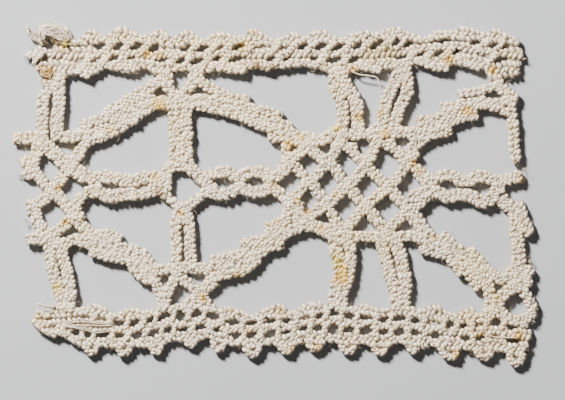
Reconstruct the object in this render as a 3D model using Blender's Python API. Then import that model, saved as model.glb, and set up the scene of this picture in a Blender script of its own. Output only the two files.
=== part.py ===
"""Lace insertion: one flat strip of plaited linen, cut from a longer length.

Two headings run along the long sides. Between them lie paired plaits, dense
leaves of staggered plaits and a lattice with diamond gaps. The whole strip is
one solid: every plait is a ridge, and the gaps between plaits go through.
"""

import math

import bmesh
import bpy
from mathutils import Vector
from mathutils.geometry import delaunay_2d_cdt

# Driving sizes, in metres.
STEP = 0.00022
RIM_HEIGHT = 0.0010
SEAM_HEIGHT = 0.0013
CROWN_HEIGHT = 0.0018
SHORTEST_EDGE = 0.00035
OUTLINE_SLACK = 0.00006
NARROWEST_GAP = 0.00045

# Plan places are counted in steps from the pricking's top left corner, x to
# the right and y down. This one is the middle of the finished strip.
PLAN_CENTRE = (275.72, 195.25)

SPAN_SAMPLES = 3
CAP_REACH = 0.30
CAP_SQUARENESS = 0.62
RIDGE_SPACING = 9.0
RELIEF_PARTING = 4.5 * STEP
RELIEF_MARGIN = 2.5 * STEP
ROW_MIDDLES = (0.17, 0.5, 0.83)
ROW_SEAMS = (0.33, 0.67)
GAP_LEAN = 0.12

LINEN_COLOUR = (0.70, 0.64, 0.55, 1.0)
LINEN_ROUGHNESS = 0.9

# Plaits of the field: name, width in steps, places along the middle.
PLAITS = (
    # Left end: paired bar, cut lattice, paired bar.
    ("bar_left_upper_a", 15.0, ((51, 74), (47.5, 88), (44, 102), (43.5, 116), (43, 132))),
    ("bar_left_upper_b", 14.5, ((60, 74), (59.5, 90), (58.5, 104), (57.5, 117), (58, 132))),
    ("left_stub_top", 13.0, ((17, 139), (30, 138), (44, 137))),
    ("left_edge_upper", 14.0, ((28, 175.5), (32.5, 165), (38, 150), (42, 136))),
    ("left_fall_a", 15.5, ((38, 138), (50.5, 149.5), (62, 160), (73, 167.5), (84, 174))),
    ("left_fall_b", 12.5, ((25, 160), (35.5, 172.5), (45.5, 184), (58, 196), (69.5, 208), (80.5, 218.5))),
    ("left_rise_a", 13.0, ((35, 206), (45, 198.5), (55.5, 187.5), (65, 173.5), (72, 163), (80, 152))),
    ("left_rise_b", 13.0, ((30, 239), (47, 237), (60, 229.5), (71, 219), (77.5, 207), (82, 197))),
    ("left_edge_lower", 14.5, ((33.5, 204), (34, 212), (37.5, 221.5), (45.5, 232), (54, 242))),
    ("left_foot", 12.0, ((34, 240), (50, 241), (64, 243), (76, 239), (90, 241))),
    ("left_link", 10.0, ((58, 132.5), (69, 135.5), (82, 134))),
    ("bar_left_lower_a", 13.5, ((50.5, 244), (51.5, 262), (54.5, 278), (59.5, 292), (65, 306))),
    ("bar_left_lower_b", 13.0, ((60.5, 244), (64, 262), (68, 280), (70.5, 294), (68.5, 308))),
    ("cross_left_a", 14.5,
     ((80, 172), (94, 178.5), (106, 176.3), (118, 179.5), (134, 181.5), (146, 178), (156, 178.5),
     (168, 180))),
    ("cross_left_b", 14.5, ((88, 193), (97, 191), (107, 196), (119, 195.5), (134, 194))),
    ("cross_left_c", 11.5, ((126, 194.5), (140, 194), (152, 191.5), (168, 187))),
    # Left leaves and star.
    ("leaf_a1", 12.0, ((83, 125.5), (94, 122), (108, 117), (126, 109), (142, 101), (153, 99.5))),
    ("leaf_a2", 12.0, ((107, 113), (124, 103), (141, 93), (158, 83), (168, 74))),
    ("leaf_a3", 13.0, ((84, 137), (97, 133), (114, 126), (131, 117), (146, 107), (164, 102))),
    ("leaf_a4", 12.0, ((68, 166), (76, 156.6), (83, 147), (89, 141), (100, 134))),
    ("leaf_a5", 12.0, ((98, 138), (108, 134), (120, 128.5), (132, 121), (144, 112), (158, 102))),
    ("leaf_a6", 11.0, ((66, 137), (76, 134.5), (88, 129))),
    ("star_top_fall", 12.0, ((162, 74), (168, 87), (180, 98), (196, 105), (210, 108))),
    ("star_top_rise", 12.0, ((200, 72), (193, 83), (183, 95), (170, 102), (154, 104))),
    ("star_top_left", 10.0, ((152, 84), (162, 82), (170, 84))),
    ("star_waist_top", 13.0, ((156, 104), (170, 105), (186, 103.5), (206, 101))),
    ("bar_star_upper_a", 13.5,
     ((172, 102), (174.5, 116), (175, 132), (175, 148), (174.5, 160), (168.5, 171), (159, 183))),
    ("bar_star_upper_b", 13.5,
     ((189, 102), (186.5, 116), (187, 132), (186.5, 150), (188, 163), (195, 175), (206, 183))),
    ("bar_star_lower_a", 12.5,
     ((178, 208), (176.5, 216), (176, 224), (176, 238), (177, 252), (174, 268))),
    ("bar_star_lower_b", 12.5,
     ((187.5, 208), (188.5, 216), (189, 224), (189.5, 240), (190.5, 256), (194, 268))),
    ("star_waist_low", 13.0, ((146, 268.5), (160, 270), (176, 268.5), (192, 267.5), (208, 270.5))),
    ("star_foot_a", 12.5, ((150, 268), (155.5, 284), (161, 297), (164, 312))),
    ("star_foot_b", 11.0, ((180, 270), (173, 282), (167.5, 296.5), (161.5, 310))),
    ("star_foot_c", 12.5, ((176, 274), (188.5, 284), (200, 292), (206, 304), (214, 313))),
    ("star_foot_d", 13.5, ((215, 280), (205, 289.5), (193.5, 300.5), (183, 311))),
    ("leaf_d1", 13.0, ((74, 213), (83.5, 225.5), (95, 235.5), (108, 235), (118, 238))),
    ("leaf_d2", 12.0, ((90, 234), (108, 242), (124, 248), (139, 250.5), (149, 262))),
    ("leaf_d3", 12.5, ((78, 240), (92, 245), (108, 250), (126, 256), (142, 263), (156, 269))),
    ("leaf_d4", 12.0, ((95, 252.5), (103, 254.5), (114, 257.5), (130, 261), (146, 268))),
    ("leaf_d5", 13.0, ((134, 267.5), (141, 274.5), (148, 279), (158, 277))),
    ("star_join_upper", 11.0, ((181.5, 146), (181.5, 158), (181.5, 168))),
    ("star_arm_low_left", 10.5, ((152, 186), (163, 192.5), (174, 203), (179, 212))),
    ("star_arm_low_right", 10.5, ((214, 186), (203, 193), (192, 203), (187.5, 212))),
    # Crossways pair and middle leaves.
    ("cross_mid_a", 13.0,
     ((203, 177), (210, 175.5), (218, 173), (226, 171), (238, 177), (251, 171.5), (262, 172),
     (272, 177))),
    ("cross_mid_b", 13.0,
     ((204, 192.5), (214, 193), (228, 194.5), (240, 187.5), (252, 192), (262, 191.5), (272, 188))),
    ("leaf_b1", 12.0, ((192, 76), (204, 84), (218, 92.5), (232, 99), (247, 99.5))),
    ("leaf_b2", 12.0, ((211, 99.5), (226, 104), (248, 107.5), (268, 111.5), (279, 116))),
    ("leaf_b3", 12.5,
     ((196, 101), (206, 103.5), (216, 109.5), (234, 113), (254, 119), (272, 123), (290, 128))),
    ("leaf_b4", 12.0, ((243, 117), (254, 122.5), (266, 126.5), (286, 131), (302, 137), (322, 139.5))),
    ("leaf_b5", 12.0, ((271, 137.5), (281, 137.5), (292, 139), (304, 143))),
    ("leaf_c1", 12.0, ((267, 227.5), (280, 224), (294, 214), (300, 204))),
    ("leaf_c2", 12.0, ((268, 232), (284, 231), (300, 227), (316, 226))),
    ("leaf_c3", 12.0, ((243, 243), (260, 241), (280, 236.5), (298, 229))),
    ("leaf_c4", 11.5, ((212, 259.5), (232, 256), (250, 252), (266, 247), (281, 245.5))),
    ("leaf_c5", 11.0, ((198, 268), (216, 266), (234, 262), (250, 258), (266, 251))),
    ("leaf_c6", 11.0, ((208, 282), (217, 275), (230, 269), (244, 269), (257, 260.5))),
    ("leaf_c7", 10.0, ((207, 282.5), (218, 277), (232, 273.5), (242, 272.5))),
    # Lattice with its bands and paired bars.
    ("fall_e", 12.5,
     ((268, 184), (276, 190.5), (287, 198.5), (297, 211), (310, 223), (326, 233), (344, 240))),
    ("fall_a", 12.0,
     ((288, 156), (298, 170), (309, 182.5), (320, 197), (328.5, 209.5), (339.5, 227), (351, 238))),
    ("fall_b", 13.0,
     ((306, 142), (316.5, 154), (332, 166.5), (347.5, 186.5), (359.5, 200), (371.5, 213.5), (385, 230),
     (395, 240))),
    ("fall_c", 12.5, ((358, 157), (372, 171.5), (388, 187.5), (400.5, 201), (413, 213.5), (425.5, 231))),
    ("fall_d", 11.5, ((380, 137), (396, 150), (409, 164.5), (418, 174), (428, 184))),
    ("rise_e", 13.0,
     ((268, 181), (277, 176), (287, 168.5), (295, 157), (308, 146), (324, 139.5), (340, 129))),
    ("rise_a", 11.5, ((288, 206), (299, 193), (312, 179), (325, 166), (337, 150), (342, 134))),
    ("rise_b", 12.5,
     ((306, 221), (318, 210), (332.5, 200.5), (345.5, 186.5), (358, 177), (369, 164), (376, 150),
     (380, 134))),
    ("rise_c", 12.0,
     ((342, 233), (355, 219), (367, 206), (379.5, 194.5), (391, 184), (403, 169), (414, 152))),
    ("rise_d", 12.0, ((385, 233), (396.5, 221.5), (407.5, 212), (419.5, 199.5), (428, 192.5))),
    ("band_top_a", 12.0, ((300, 139), (318, 140), (338, 135), (356, 135), (372, 134))),
    ("band_top_b", 12.0, ((366, 135), (384, 134), (402, 133), (414, 130))),
    ("band_top_c", 10.0, ((392, 127), (402, 131), (414, 136.5))),
    ("band_top_d", 9.0, ((334, 146), (345, 147), (354, 146))),
    ("band_low_a", 12.5, ((296, 224.5), (314, 226), (332, 231), (350, 236), (366, 236.5), (382, 237))),
    ("band_low_b", 12.5, ((378, 237), (394, 238), (410, 236), (426, 240))),
    ("lattice_left_low", 12.0, ((289, 196), (289, 210), (284, 222))),
    ("bar_mid_upper_a", 13.0, ((334, 70), (335.5, 88), (341, 103), (342.5, 118), (342.5, 134))),
    ("bar_mid_upper_b", 13.0, ((340, 70), (347, 87), (356, 100), (357.5, 112), (358, 124), (361, 134))),
    ("bar_mid_upper_c", 13.0, ((399, 70), (393, 86), (387, 98), (383.5, 111), (380.5, 124), (369, 137))),
    ("bar_mid_upper_d", 13.5, ((405, 68), (408, 86), (403.5, 101), (398, 115), (393.5, 130), (385, 145))),
    ("bar_mid_lower_a", 13.5,
     ((333.5, 234), (336.5, 250), (339.5, 264), (339.5, 278), (335, 292), (333, 308))),
    ("bar_mid_lower_b", 13.0,
     ((346, 236), (350, 250), (350, 264), (347.5, 280), (341.5, 294), (341.5, 308))),
    ("bar_mid_lower_c", 13.0, ((380, 238), (383.5, 250), (388, 264), (391, 279), (396, 292), (397, 310))),
    ("bar_mid_lower_d", 14.0,
     ((393, 238), (399.5, 251), (401.5, 264), (405.5, 279), (404.5, 294), (402.5, 310))),
    ("lattice_left_top", 10.5, ((285.5, 140), (286, 150), (286, 160), (281, 170))),
    ("fall_c_top", 10.5, ((342, 141), (349, 149), (358, 158))),
    # Right leaves, crossways pair and cut right end.
    ("leaf_e1", 12.0, ((418.5, 119.5), (432, 121), (448, 114), (464, 108.5), (482, 104.5), (502, 105))),
    ("leaf_e2", 12.0, ((443, 106.5), (454, 107), (466, 103.5), (480, 101.5), (494, 105))),
    ("leaf_e3", 9.5, ((460, 93), (472, 93.5), (485, 89), (500, 84))),
    ("leaf_e4", 12.0, ((412, 139), (424, 131.5), (438, 126), (450, 122), (466, 116), (475, 115))),
    ("leaf_e5", 13.0, ((404, 156), (416, 145), (430, 134.5), (448, 131.5))),
    ("leaf_e6", 12.0, ((409, 134), (421, 128.5), (436, 127))),
    ("cross_right_a", 14.0,
     ((418, 172), (425, 180), (437, 178), (449, 174.5), (465, 181), (480, 175.5), (497, 181),
     (518, 177))),
    ("cross_right_b", 13.5,
     ((414, 198), (425, 192), (437, 192), (448, 198), (460, 195.5), (472, 197), (484, 201.5), (494, 196),
     (501, 188))),
    ("right_neck", 12.0,
     ((496, 78), (503, 89), (509.5, 101), (512, 116), (514, 132), (514, 147), (516.5, 154))),
    ("right_shoulder", 11.0, ((496, 84), (505, 92), (515, 99))),
    ("right_bar", 15.0,
     ((501, 197), (511, 207), (516.5, 217), (516, 232), (518, 247), (518.5, 260), (512, 273))),
    ("right_stub", 12.0, ((519, 202), (523, 216), (528.5, 233))),
    ("right_band", 13.0, ((486, 270), (498, 278), (512, 278), (529, 270))),
    ("right_foot_a", 13.0, ((476, 268), (486, 282), (489.5, 294), (491, 303), (487, 315))),
    ("right_foot_b", 13.0, ((528, 281.5), (515, 287), (503, 295), (495, 308), (486, 318))),
    ("right_foot_c", 12.0, ((512, 280), (523.5, 292), (530.5, 303), (533, 309))),
    ("right_foot_d", 12.0, ((496, 304), (506, 316.5), (520, 321), (533, 313))),
    ("leaf_f1", 13.0,
     ((412, 217), (424, 231), (437.5, 241), (452, 246.5), (466, 255), (479, 264), (490, 274.5))),
    ("leaf_f2", 11.0, ((444, 235.5), (454, 244.5), (465, 255))),
    ("leaf_f3", 11.0, ((470.5, 250), (480, 260), (489, 274))),
    ("leaf_f4", 12.0, ((422, 249.5), (436, 252), (448, 256), (462, 262.5), (478, 270))),
    ("leaf_f5", 10.5, ((450.5, 260.5), (456.5, 267.5), (460, 272.5))),
    ("leaf_f6", 12.0, ((463.5, 264.5), (470.5, 276.5), (478, 286.5))),
    ("leaf_f7", 12.0, ((416, 236), (430, 244), (446, 250))),
    ("right_elbow", 10.0, ((482, 106), (494, 109), (507, 113))),
)

# Slits between the two plaits of a bar: upper end, lower end.
SLITS = (
    ((52, 97), (49.5, 113)), ((57, 258), (63, 285)), ((137, 187), (153, 186)), ((181, 116), (183, 146)),
    ((181.5, 224), (183.5, 250)), ((341, 243), (346, 266)), ((389, 250), (395, 262)),
    ((398.5, 92), (392.5, 106)),
)
SLIT_WIDTH = 2.4

# Headings: a row for each section gives its place along the strip, its outer
# edge and its inner edge, all in steps.
UPPER_HEADING = (
    (35, 40, 64), (38, 27, 70), (43, 22.5, 76), (55, 23.5, 82), (66, 26.5, 79), (76, 41, 75),
    (91, 28, 76), (96, 30.5, 75), (106, 35, 70), (121, 25, 73), (134, 31, 74), (144, 35, 70),
    (158, 29, 76), (165, 31, 75), (170, 38, 74), (187, 30, 72), (204, 38, 76), (212, 34, 72.5),
    (220, 30.5, 73), (240, 35, 75), (255, 28, 69), (272, 38, 69.5), (284, 35.5, 69), (293, 31, 68.5),
    (306, 36, 68), (320, 29, 71), (340, 37, 77), (360, 29, 71), (376, 32, 72), (395, 26, 70),
    (422, 36, 66), (439, 30, 71), (452, 30, 66), (466, 26, 68), (484, 32, 70), (489, 31, 80),
    (496, 28, 82), (508, 34, 79), (512, 35, 80), (518, 38.5, 78), (521, 46, 76), (522.5, 58, 64),
)
LOWER_HEADING = (
    (32, 316, 322), (38, 309, 328), (48, 310, 336), (55, 306, 338), (62, 302, 337), (79, 307, 346.5),
    (95, 303, 347), (104, 305.5, 348), (112, 312, 350), (118, 312.5, 348), (128, 307, 347),
    (144, 309.5, 349), (152, 308.5, 349), (158, 306, 348), (174, 303.5, 342.5), (190, 303, 345),
    (206, 305, 340), (212, 306.5, 342), (221, 308.5, 344), (227, 305.5, 345.5), (236, 308, 347),
    (244, 310, 347), (251, 314, 350), (268, 306, 346), (281, 303, 350), (288, 311, 350),
    (304, 304, 344.5), (318, 300, 346), (322, 305, 344), (329, 303.5, 343), (346, 305, 347),
    (356, 306, 346), (363, 302, 345), (380, 308, 349), (398, 305, 344), (410, 305.5, 347),
    (421, 308, 350), (434, 302.5, 347.5), (450, 312, 353), (466, 309, 351), (472, 306.5, 352),
    (478, 313, 355), (494, 307, 353), (508, 315, 355), (523, 321.5, 358), (528.5, 323, 357.5),
    (531, 327, 344),
)
# Picots along the lower heading: place of the tip, half width.
PICOTS = (
    (91.5, 356.5, 9), (124.5, 357.5, 9), (156, 355.5, 8.5), (191, 349, 8), (219, 353, 8),
    (252.5, 358, 10), (286, 355, 10), (315.5, 353, 9.5), (348, 355.5, 9.5), (380, 356, 10),
    (413, 355, 8.5), (449.5, 361, 11), (484, 361.5, 10.5), (516, 368, 9),
)
PICOT_LENGTH = 14
PICOT_ROOT_FLARE = 3
PICOT_ROUNDNESS = 0.8
PICOT_CORNERS = 5

# Gaps between the rows of the headings: place of the middle, width, height.
UPPER_GAPS = (
    (49.5, 45.5, 7, 8), (100, 46.5, 8, 7), (119, 47, 8, 7), (137, 46, 10, 8), (154.5, 48.5, 7, 7),
    (186, 49, 8, 4), (203, 49, 10, 7), (238, 47, 8, 6), (303, 46, 10, 6), (321, 47, 12, 6),
    (339, 47, 11, 6), (358, 46.5, 9, 5), (377, 44.5, 12, 8), (396, 42, 7, 6), (408, 45, 7, 5),
    (443, 40.5, 9, 5), (476, 43, 6, 4), (493, 46, 6, 4), (115, 58, 7, 6), (164, 60.5, 10, 5),
    (181, 60.5, 8, 6), (197, 62, 12, 6), (216, 59.5, 8, 6), (236, 59.5, 10, 6), (271, 59, 8, 5),
    (287, 59, 8, 4), (314, 59, 5, 4), (334, 60.5, 12, 6), (354, 59.5, 8, 6), (402, 58, 9, 4),
    (421, 54.5, 9, 5), (439, 53.5, 9, 6), (455, 52, 6, 5), (501, 60.5, 11, 7),
)
LOWER_GAPS = (
    (120, 323.5, 10, 6), (135, 323, 8, 6), (151.5, 320, 7, 6), (164, 315.5, 14, 7), (181, 316, 9, 10),
    (197, 313, 9, 8), (213.5, 316, 12, 8), (233, 323, 12, 5), (252, 323, 8, 4), (270, 321, 9, 4),
    (288, 321, 7, 4), (320.5, 316, 5, 6), (335, 311, 9, 9), (350, 316.5, 8, 6), (366, 318, 11, 4),
    (384, 320, 7, 5), (399.5, 318, 12, 6), (415.5, 320.5, 6, 7), (450, 324.5, 6, 7), (463.5, 326, 6, 4),
    (495.5, 321.5, 9, 9), (511.5, 327, 8, 8), (76, 333, 6, 6), (88, 335, 5, 6), (103, 335, 12, 6),
    (120, 335.5, 7, 4), (137.5, 335.5, 9, 7), (154, 333, 10, 7), (168.5, 329.5, 7, 6), (183, 329, 12, 4),
    (201, 327, 10, 5), (217, 330, 6, 4), (236, 336, 8, 6), (252, 335, 8, 6), (270.5, 333.5, 9, 9),
    (286, 332.5, 6, 5), (303.5, 328, 7, 4), (318, 328, 8, 6), (333.5, 329, 9, 11), (349, 330, 10, 7),
    (366, 330.5, 12, 9), (383.5, 332, 7, 6), (400, 331.5, 8, 7), (415, 332.5, 8, 5), (435, 335, 8, 6),
    (465.5, 338, 8, 6), (480, 338.5, 7, 5), (512, 341, 9, 4),
)


def to_metres(place):
    """Turn a plan place in steps into the strip's own x and y."""
    return Vector(((place[0] - PLAN_CENTRE[0]) * STEP, (PLAN_CENTRE[1] - place[1]) * STEP))


def smooth_path(places, samples=SPAN_SAMPLES):
    """Catmull-Rom curve through the places, with some samples in each span."""
    points = [Vector(place) for place in places]
    ends = [2 * points[0] - points[1]] + points + [2 * points[-1] - points[-2]]
    path = []
    for before, start, stop, after in zip(ends, ends[1:], ends[2:], ends[3:]):
        for sample in range(samples):
            t = sample / samples
            path.append(0.5 * (2 * start + (stop - before) * t
                               + (2 * before - 5 * start + 4 * stop - after) * t * t
                               + (3 * start - before - 3 * stop + after) * t ** 3))
    path.append(points[-1])
    return path


def directions(path):
    """Unit direction of travel at each point of a path."""
    last = len(path) - 1
    return [(path[min(i + 1, last)] - path[max(i - 1, 0)]).normalized() for i in range(last + 1)]


def plait_outline(path, width):
    """Closed outline of a plait, with blunt, slightly rounded ends."""
    half = width / 2
    along = directions(path)
    across = [Vector((-way.y, way.x)) for way in along]
    left = [point + side * half for point, side in zip(path, across)]
    right = [point - side * half for point, side in zip(path, across)]
    cap = half * CAP_SQUARENESS
    reach = width * CAP_REACH
    stop = path[-1] + along[-1] * reach
    start = path[0] - along[0] * reach
    end_cap = [stop + across[-1] * cap, stop - across[-1] * cap]
    start_cap = [start - across[0] * cap, start + across[0] * cap]
    return left + end_cap + right[::-1] + start_cap


def ridge_places(path, offset=0.0):
    """Places along a path, a fixed spacing apart, at an offset to its left."""
    places = []
    travelled = RIDGE_SPACING / 2
    for start, stop in zip(path, path[1:]):
        span = (stop - start).length
        way = (stop - start) / span
        while travelled < span:
            places.append(start + way * travelled + Vector((-way.y, way.x)) * offset)
            travelled += RIDGE_SPACING
        travelled -= span
    return places


def heading_outline(sections):
    """Closed outline of a heading from its table of sections."""
    outer = smooth_path([(x, outer) for x, outer, inner in sections], 2)
    inner = smooth_path([(x, inner) for x, outer, inner in sections], 1)
    return outer + inner[::-1]


def heading_line(sections, share):
    """Line along a heading, at a share of the way from its outer to its inner edge."""
    return [Vector((x, outer + (inner - outer) * share)) for x, outer, inner in sections]


def picot_outline(tip_x, tip_y, half_width):
    """Rounded lobe that hangs from the lower heading."""
    root_y = tip_y - PICOT_LENGTH
    root_reach = half_width + PICOT_ROOT_FLARE
    depth = half_width * PICOT_ROUNDNESS
    outline = [Vector((tip_x - root_reach, root_y)), Vector((tip_x + root_reach, root_y))]
    for step in range(PICOT_CORNERS):
        angle = math.pi * step / (PICOT_CORNERS - 1)
        across = half_width * math.cos(angle)
        down = depth * (math.sin(angle) - 1)
        outline.append(Vector((tip_x + across, tip_y + down)))
    return outline


def gap_outline(x, y, width, height):
    """Six-sided gap that leans like the yarns beside it."""
    shares = (
        (-0.5, 0.1), (-0.2 - GAP_LEAN, 0.5), (0.25, 0.45),
        (0.5, -0.1), (0.2 + GAP_LEAN, -0.5), (-0.25, -0.45),
    )
    return [Vector((x + across * width, y + down * height)) for across, down in shares]


def slit_outline(top, bottom):
    """Narrow four-sided slit, widest in its middle."""
    start, stop = Vector(top), Vector(bottom)
    way = (stop - start).normalized()
    side = Vector((-way.y, way.x)) * SLIT_WIDTH / 2
    middle = (start + stop) / 2
    return [start, middle + side, stop, middle - side]


def anticlockwise(outline):
    """Give an outline in metres, in the sense that the triangulation expects."""
    points = [to_metres(place) for place in outline]
    turned = sum(a.x * b.y - b.x * a.y for a, b in zip(points, points[1:] + points[:1]))
    return points if turned > 0 else points[::-1]


def triangulate(outlines, extra_points=()):
    """Constrained triangulation of some outlines, with loose points between them."""
    points = []
    faces = []
    for outline in outlines:
        faces.append(list(range(len(points), len(points) + len(outline))))
        points.extend(outline)
    points.extend(extra_points)
    result = delaunay_2d_cdt(points, [], faces, 0, 1e-7, False)
    return result[0], [list(triangle) for triangle in result[2]]


def holds(outline, point):
    """Even-odd test of a point against one closed outline."""
    found = False
    for a, b in zip(outline, outline[1:] + outline[:1]):
        if (a.y > point.y) != (b.y > point.y):
            found ^= a.x + (point.y - a.y) * (b.x - a.x) / (b.y - a.y) > point.x
    return found


def centre_of(points, triangle):
    """Middle of a triangle given by three indices."""
    return (points[triangle[0]] + points[triangle[1]] + points[triangle[2]]) / 3


def edge_loops(triangles):
    """Chain the edges that bound a set of triangles into closed loops."""
    used = set()
    for triangle in triangles:
        for a, b in zip(triangle, triangle[1:] + triangle[:1]):
            if (b, a) in used:
                used.discard((b, a))
            else:
                used.add((a, b))
    following = {}
    for a, b in used:
        following.setdefault(a, []).append(b)
    loops = []
    while following:
        start = min(following)
        loop = [start]
        while True:
            choices = following[loop[-1]]
            step = choices.pop()
            if not choices:
                del following[loop[-1]]
            if step == start:
                break
            loop.append(step)
        loops.append(loop)
    return loops


def thin_loop(points):
    """Drop loop points that are crowded or lie on a straight run."""
    kept = list(points)
    changed = True
    while changed and len(kept) > 4:
        changed = False
        for i in range(len(kept)):
            before, here, after = kept[i - 1], kept[i], kept[(i + 1) % len(kept)]
            chord = after - before
            offset = abs(chord.x * (here - before).y - chord.y * (here - before).x) / max(chord.length, 1e-9)
            crowded = (here - before).length < SHORTEST_EDGE and offset < 2 * OUTLINE_SLACK
            if crowded or offset < OUTLINE_SLACK:
                kept.pop(i)
                changed = True
                break
    return kept


def mean_width(loop):
    """Twice the area of a loop over its half perimeter: small for a slit."""
    pairs = list(zip(loop, loop[1:] + loop[:1]))
    area = abs(sum(a.x * b.y - b.x * a.y for a, b in pairs)) / 2
    return 4 * area / sum((b - a).length for a, b in pairs)


def strip_loops():
    """Outline loops of the whole strip: plaits, headings and picots, less the gaps."""
    solids = [anticlockwise(plait_outline(smooth_path(places), width)) for name, width, places in PLAITS]
    solids += [anticlockwise(heading_outline(UPPER_HEADING)), anticlockwise(heading_outline(LOWER_HEADING))]
    solids += [anticlockwise(picot_outline(*picot)) for picot in PICOTS]
    cuts = [anticlockwise(gap_outline(*gap)) for gap in UPPER_GAPS + LOWER_GAPS]
    cuts += [anticlockwise(slit_outline(*slit)) for slit in SLITS]
    points, triangles = triangulate(solids + cuts)
    kept = []
    for triangle in triangles:
        middle = centre_of(points, triangle)
        if any(holds(solid, middle) for solid in solids) and not any(holds(cut, middle) for cut in cuts):
            kept.append(triangle)
    loops = [thin_loop([points[i] for i in loop]) for loop in edge_loops(kept)]
    return [loop for loop in loops if mean_width(loop) > NARROWEST_GAP]


def inside(point, loops):
    """Even-odd test of a point against all outline loops."""
    return sum(holds(loop, point) for loop in loops) % 2 == 1


def edge_distance(point, a, b):
    """Distance from a point to the straight edge between two others."""
    edge = b - a
    share = min(1.0, max(0.0, (point - a).dot(edge) / edge.length_squared))
    return (a + edge * share - point).length


def clearance(point, loops):
    """Distance from a point to the nearest outline edge."""
    return min(edge_distance(point, a, b) for loop in loops for a, b in zip(loop, loop[1:] + loop[:1]))


def relief_points(loops):
    """Crown points along the plaits and seam points between them, each with its height."""
    crowns = []
    seams = []
    for name, width, places in PLAITS:
        path = smooth_path(places)
        crowns += ridge_places(path)
        seams += ridge_places(path, width / 2) + ridge_places(path, -width / 2)
    for sections in (UPPER_HEADING, LOWER_HEADING):
        for share in ROW_MIDDLES:
            crowns += ridge_places(heading_line(sections, share))
        for share in ROW_SEAMS:
            seams += ridge_places(heading_line(sections, share))
    chosen = []
    for places, height in ((crowns, CROWN_HEIGHT), (seams, SEAM_HEIGHT)):
        for point in (to_metres(place) for place in places):
            near = min(((point - other).length for other, other_height in chosen), default=1.0)
            if near > RELIEF_PARTING and clearance(point, loops) > RELIEF_MARGIN and inside(point, loops):
                chosen.append((point, height))
    return chosen


def plan_key(point):
    """A place in the plan, rounded so that it can be looked up."""
    return (round(point[0], 7), round(point[1], 7))


def add_sheet(mesh, loops, heights, flipped):
    """Fill the outline with triangles whose corners lie at the given heights."""
    extra = [Vector(key) for key in heights if heights[key] != RIM_HEIGHT and not flipped]
    points, triangles = triangulate(loops, extra)
    levels = [0.0 if flipped else heights[plan_key(point)] for point in points]
    verts = [mesh.verts.new((point.x, point.y, level)) for point, level in zip(points, levels)]
    for triangle in triangles:
        if inside(centre_of(points, triangle), loops):
            corners = [verts[i] for i in triangle]
            mesh.faces.new(corners[::-1] if flipped else corners)
    return {plan_key(point): vert for point, vert in zip(points, verts)}


def build_strip():
    """Mesh of the strip: flat underside, upright rim and ridged top."""
    loops = strip_loops()
    heights = {plan_key(corner): RIM_HEIGHT for loop in loops for corner in loop}
    heights.update({plan_key(point): height for point, height in relief_points(loops)})
    mesh = bmesh.new()
    top = add_sheet(mesh, loops, heights, flipped=False)
    underside = add_sheet(mesh, loops, heights, flipped=True)
    for loop in loops:
        keys = [plan_key(corner) for corner in loop]
        for a, b in zip(keys, keys[1:] + keys[:1]):
            mesh.faces.new((underside[a], underside[b], top[b], top[a]))
    bmesh.ops.recalc_face_normals(mesh, faces=mesh.faces)
    return mesh


def linen_material():
    """Undyed linen, matt."""
    material = bpy.data.materials.new("linen")
    material.use_nodes = True
    shader = material.node_tree.nodes["Principled BSDF"]
    shader.inputs["Base Color"].default_value = LINEN_COLOUR
    shader.inputs["Roughness"].default_value = LINEN_ROUGHNESS
    shader.inputs["Metallic"].default_value = 0.0
    return material


def clear_scene():
    """Remove the objects that a new file starts with."""
    for old in list(bpy.data.objects):
        bpy.data.objects.remove(old, do_unlink=True)


def main():
    """Build the lace strip in its own collection."""
    clear_scene()
    collection = bpy.data.collections.new("lace_insertion")
    bpy.context.scene.collection.children.link(collection)
    mesh = build_strip()
    data = bpy.data.meshes.new("lace")
    mesh.to_mesh(data)
    mesh.free()
    data.materials.append(linen_material())
    collection.objects.link(bpy.data.objects.new("lace", data))


main()
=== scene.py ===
"""Lace insertion: braided linen yarns laid over the strip that the CAD part makes.

Plan places are counted in steps of 0.22 mm, x to the right and y down, as in
the part's own source. Every plait is braided from round yarns, each heading is
three braided rows, and a thin core sheet fills the plaits from below.
"""

import math

import bmesh
import bpy
import numpy as np
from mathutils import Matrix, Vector


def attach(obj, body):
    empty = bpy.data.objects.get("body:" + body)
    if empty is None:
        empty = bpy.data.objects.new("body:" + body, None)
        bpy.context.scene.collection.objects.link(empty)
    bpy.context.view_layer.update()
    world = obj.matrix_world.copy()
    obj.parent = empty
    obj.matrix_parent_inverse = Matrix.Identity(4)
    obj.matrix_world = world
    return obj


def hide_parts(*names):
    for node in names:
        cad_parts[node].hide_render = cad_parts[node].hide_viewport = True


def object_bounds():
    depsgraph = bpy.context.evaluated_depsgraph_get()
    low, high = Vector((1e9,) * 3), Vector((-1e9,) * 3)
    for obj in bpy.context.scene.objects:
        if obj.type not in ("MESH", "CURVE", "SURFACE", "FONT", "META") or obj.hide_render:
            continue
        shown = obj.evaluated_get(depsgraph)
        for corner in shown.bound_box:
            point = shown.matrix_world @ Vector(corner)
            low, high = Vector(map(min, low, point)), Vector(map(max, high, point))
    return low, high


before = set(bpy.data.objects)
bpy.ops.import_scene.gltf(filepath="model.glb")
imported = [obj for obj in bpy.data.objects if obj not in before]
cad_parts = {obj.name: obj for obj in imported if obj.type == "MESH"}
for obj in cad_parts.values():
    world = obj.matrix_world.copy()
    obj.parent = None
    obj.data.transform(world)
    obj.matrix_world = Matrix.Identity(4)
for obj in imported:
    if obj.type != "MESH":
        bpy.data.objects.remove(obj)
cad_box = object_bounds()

STEP = 0.00022
PLAN_CENTRE = (275.72, 195.25)
CAD_HEIGHT = cad_box[1][2]

# Camera: middle and width of the view in steps, height and sensor.
VIEW_CENTRE = (282.5, 200.0)
VIEW_WIDTH = 565
CAMERA_HEIGHT = 1.2
SENSOR_WIDTH = 36

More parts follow.
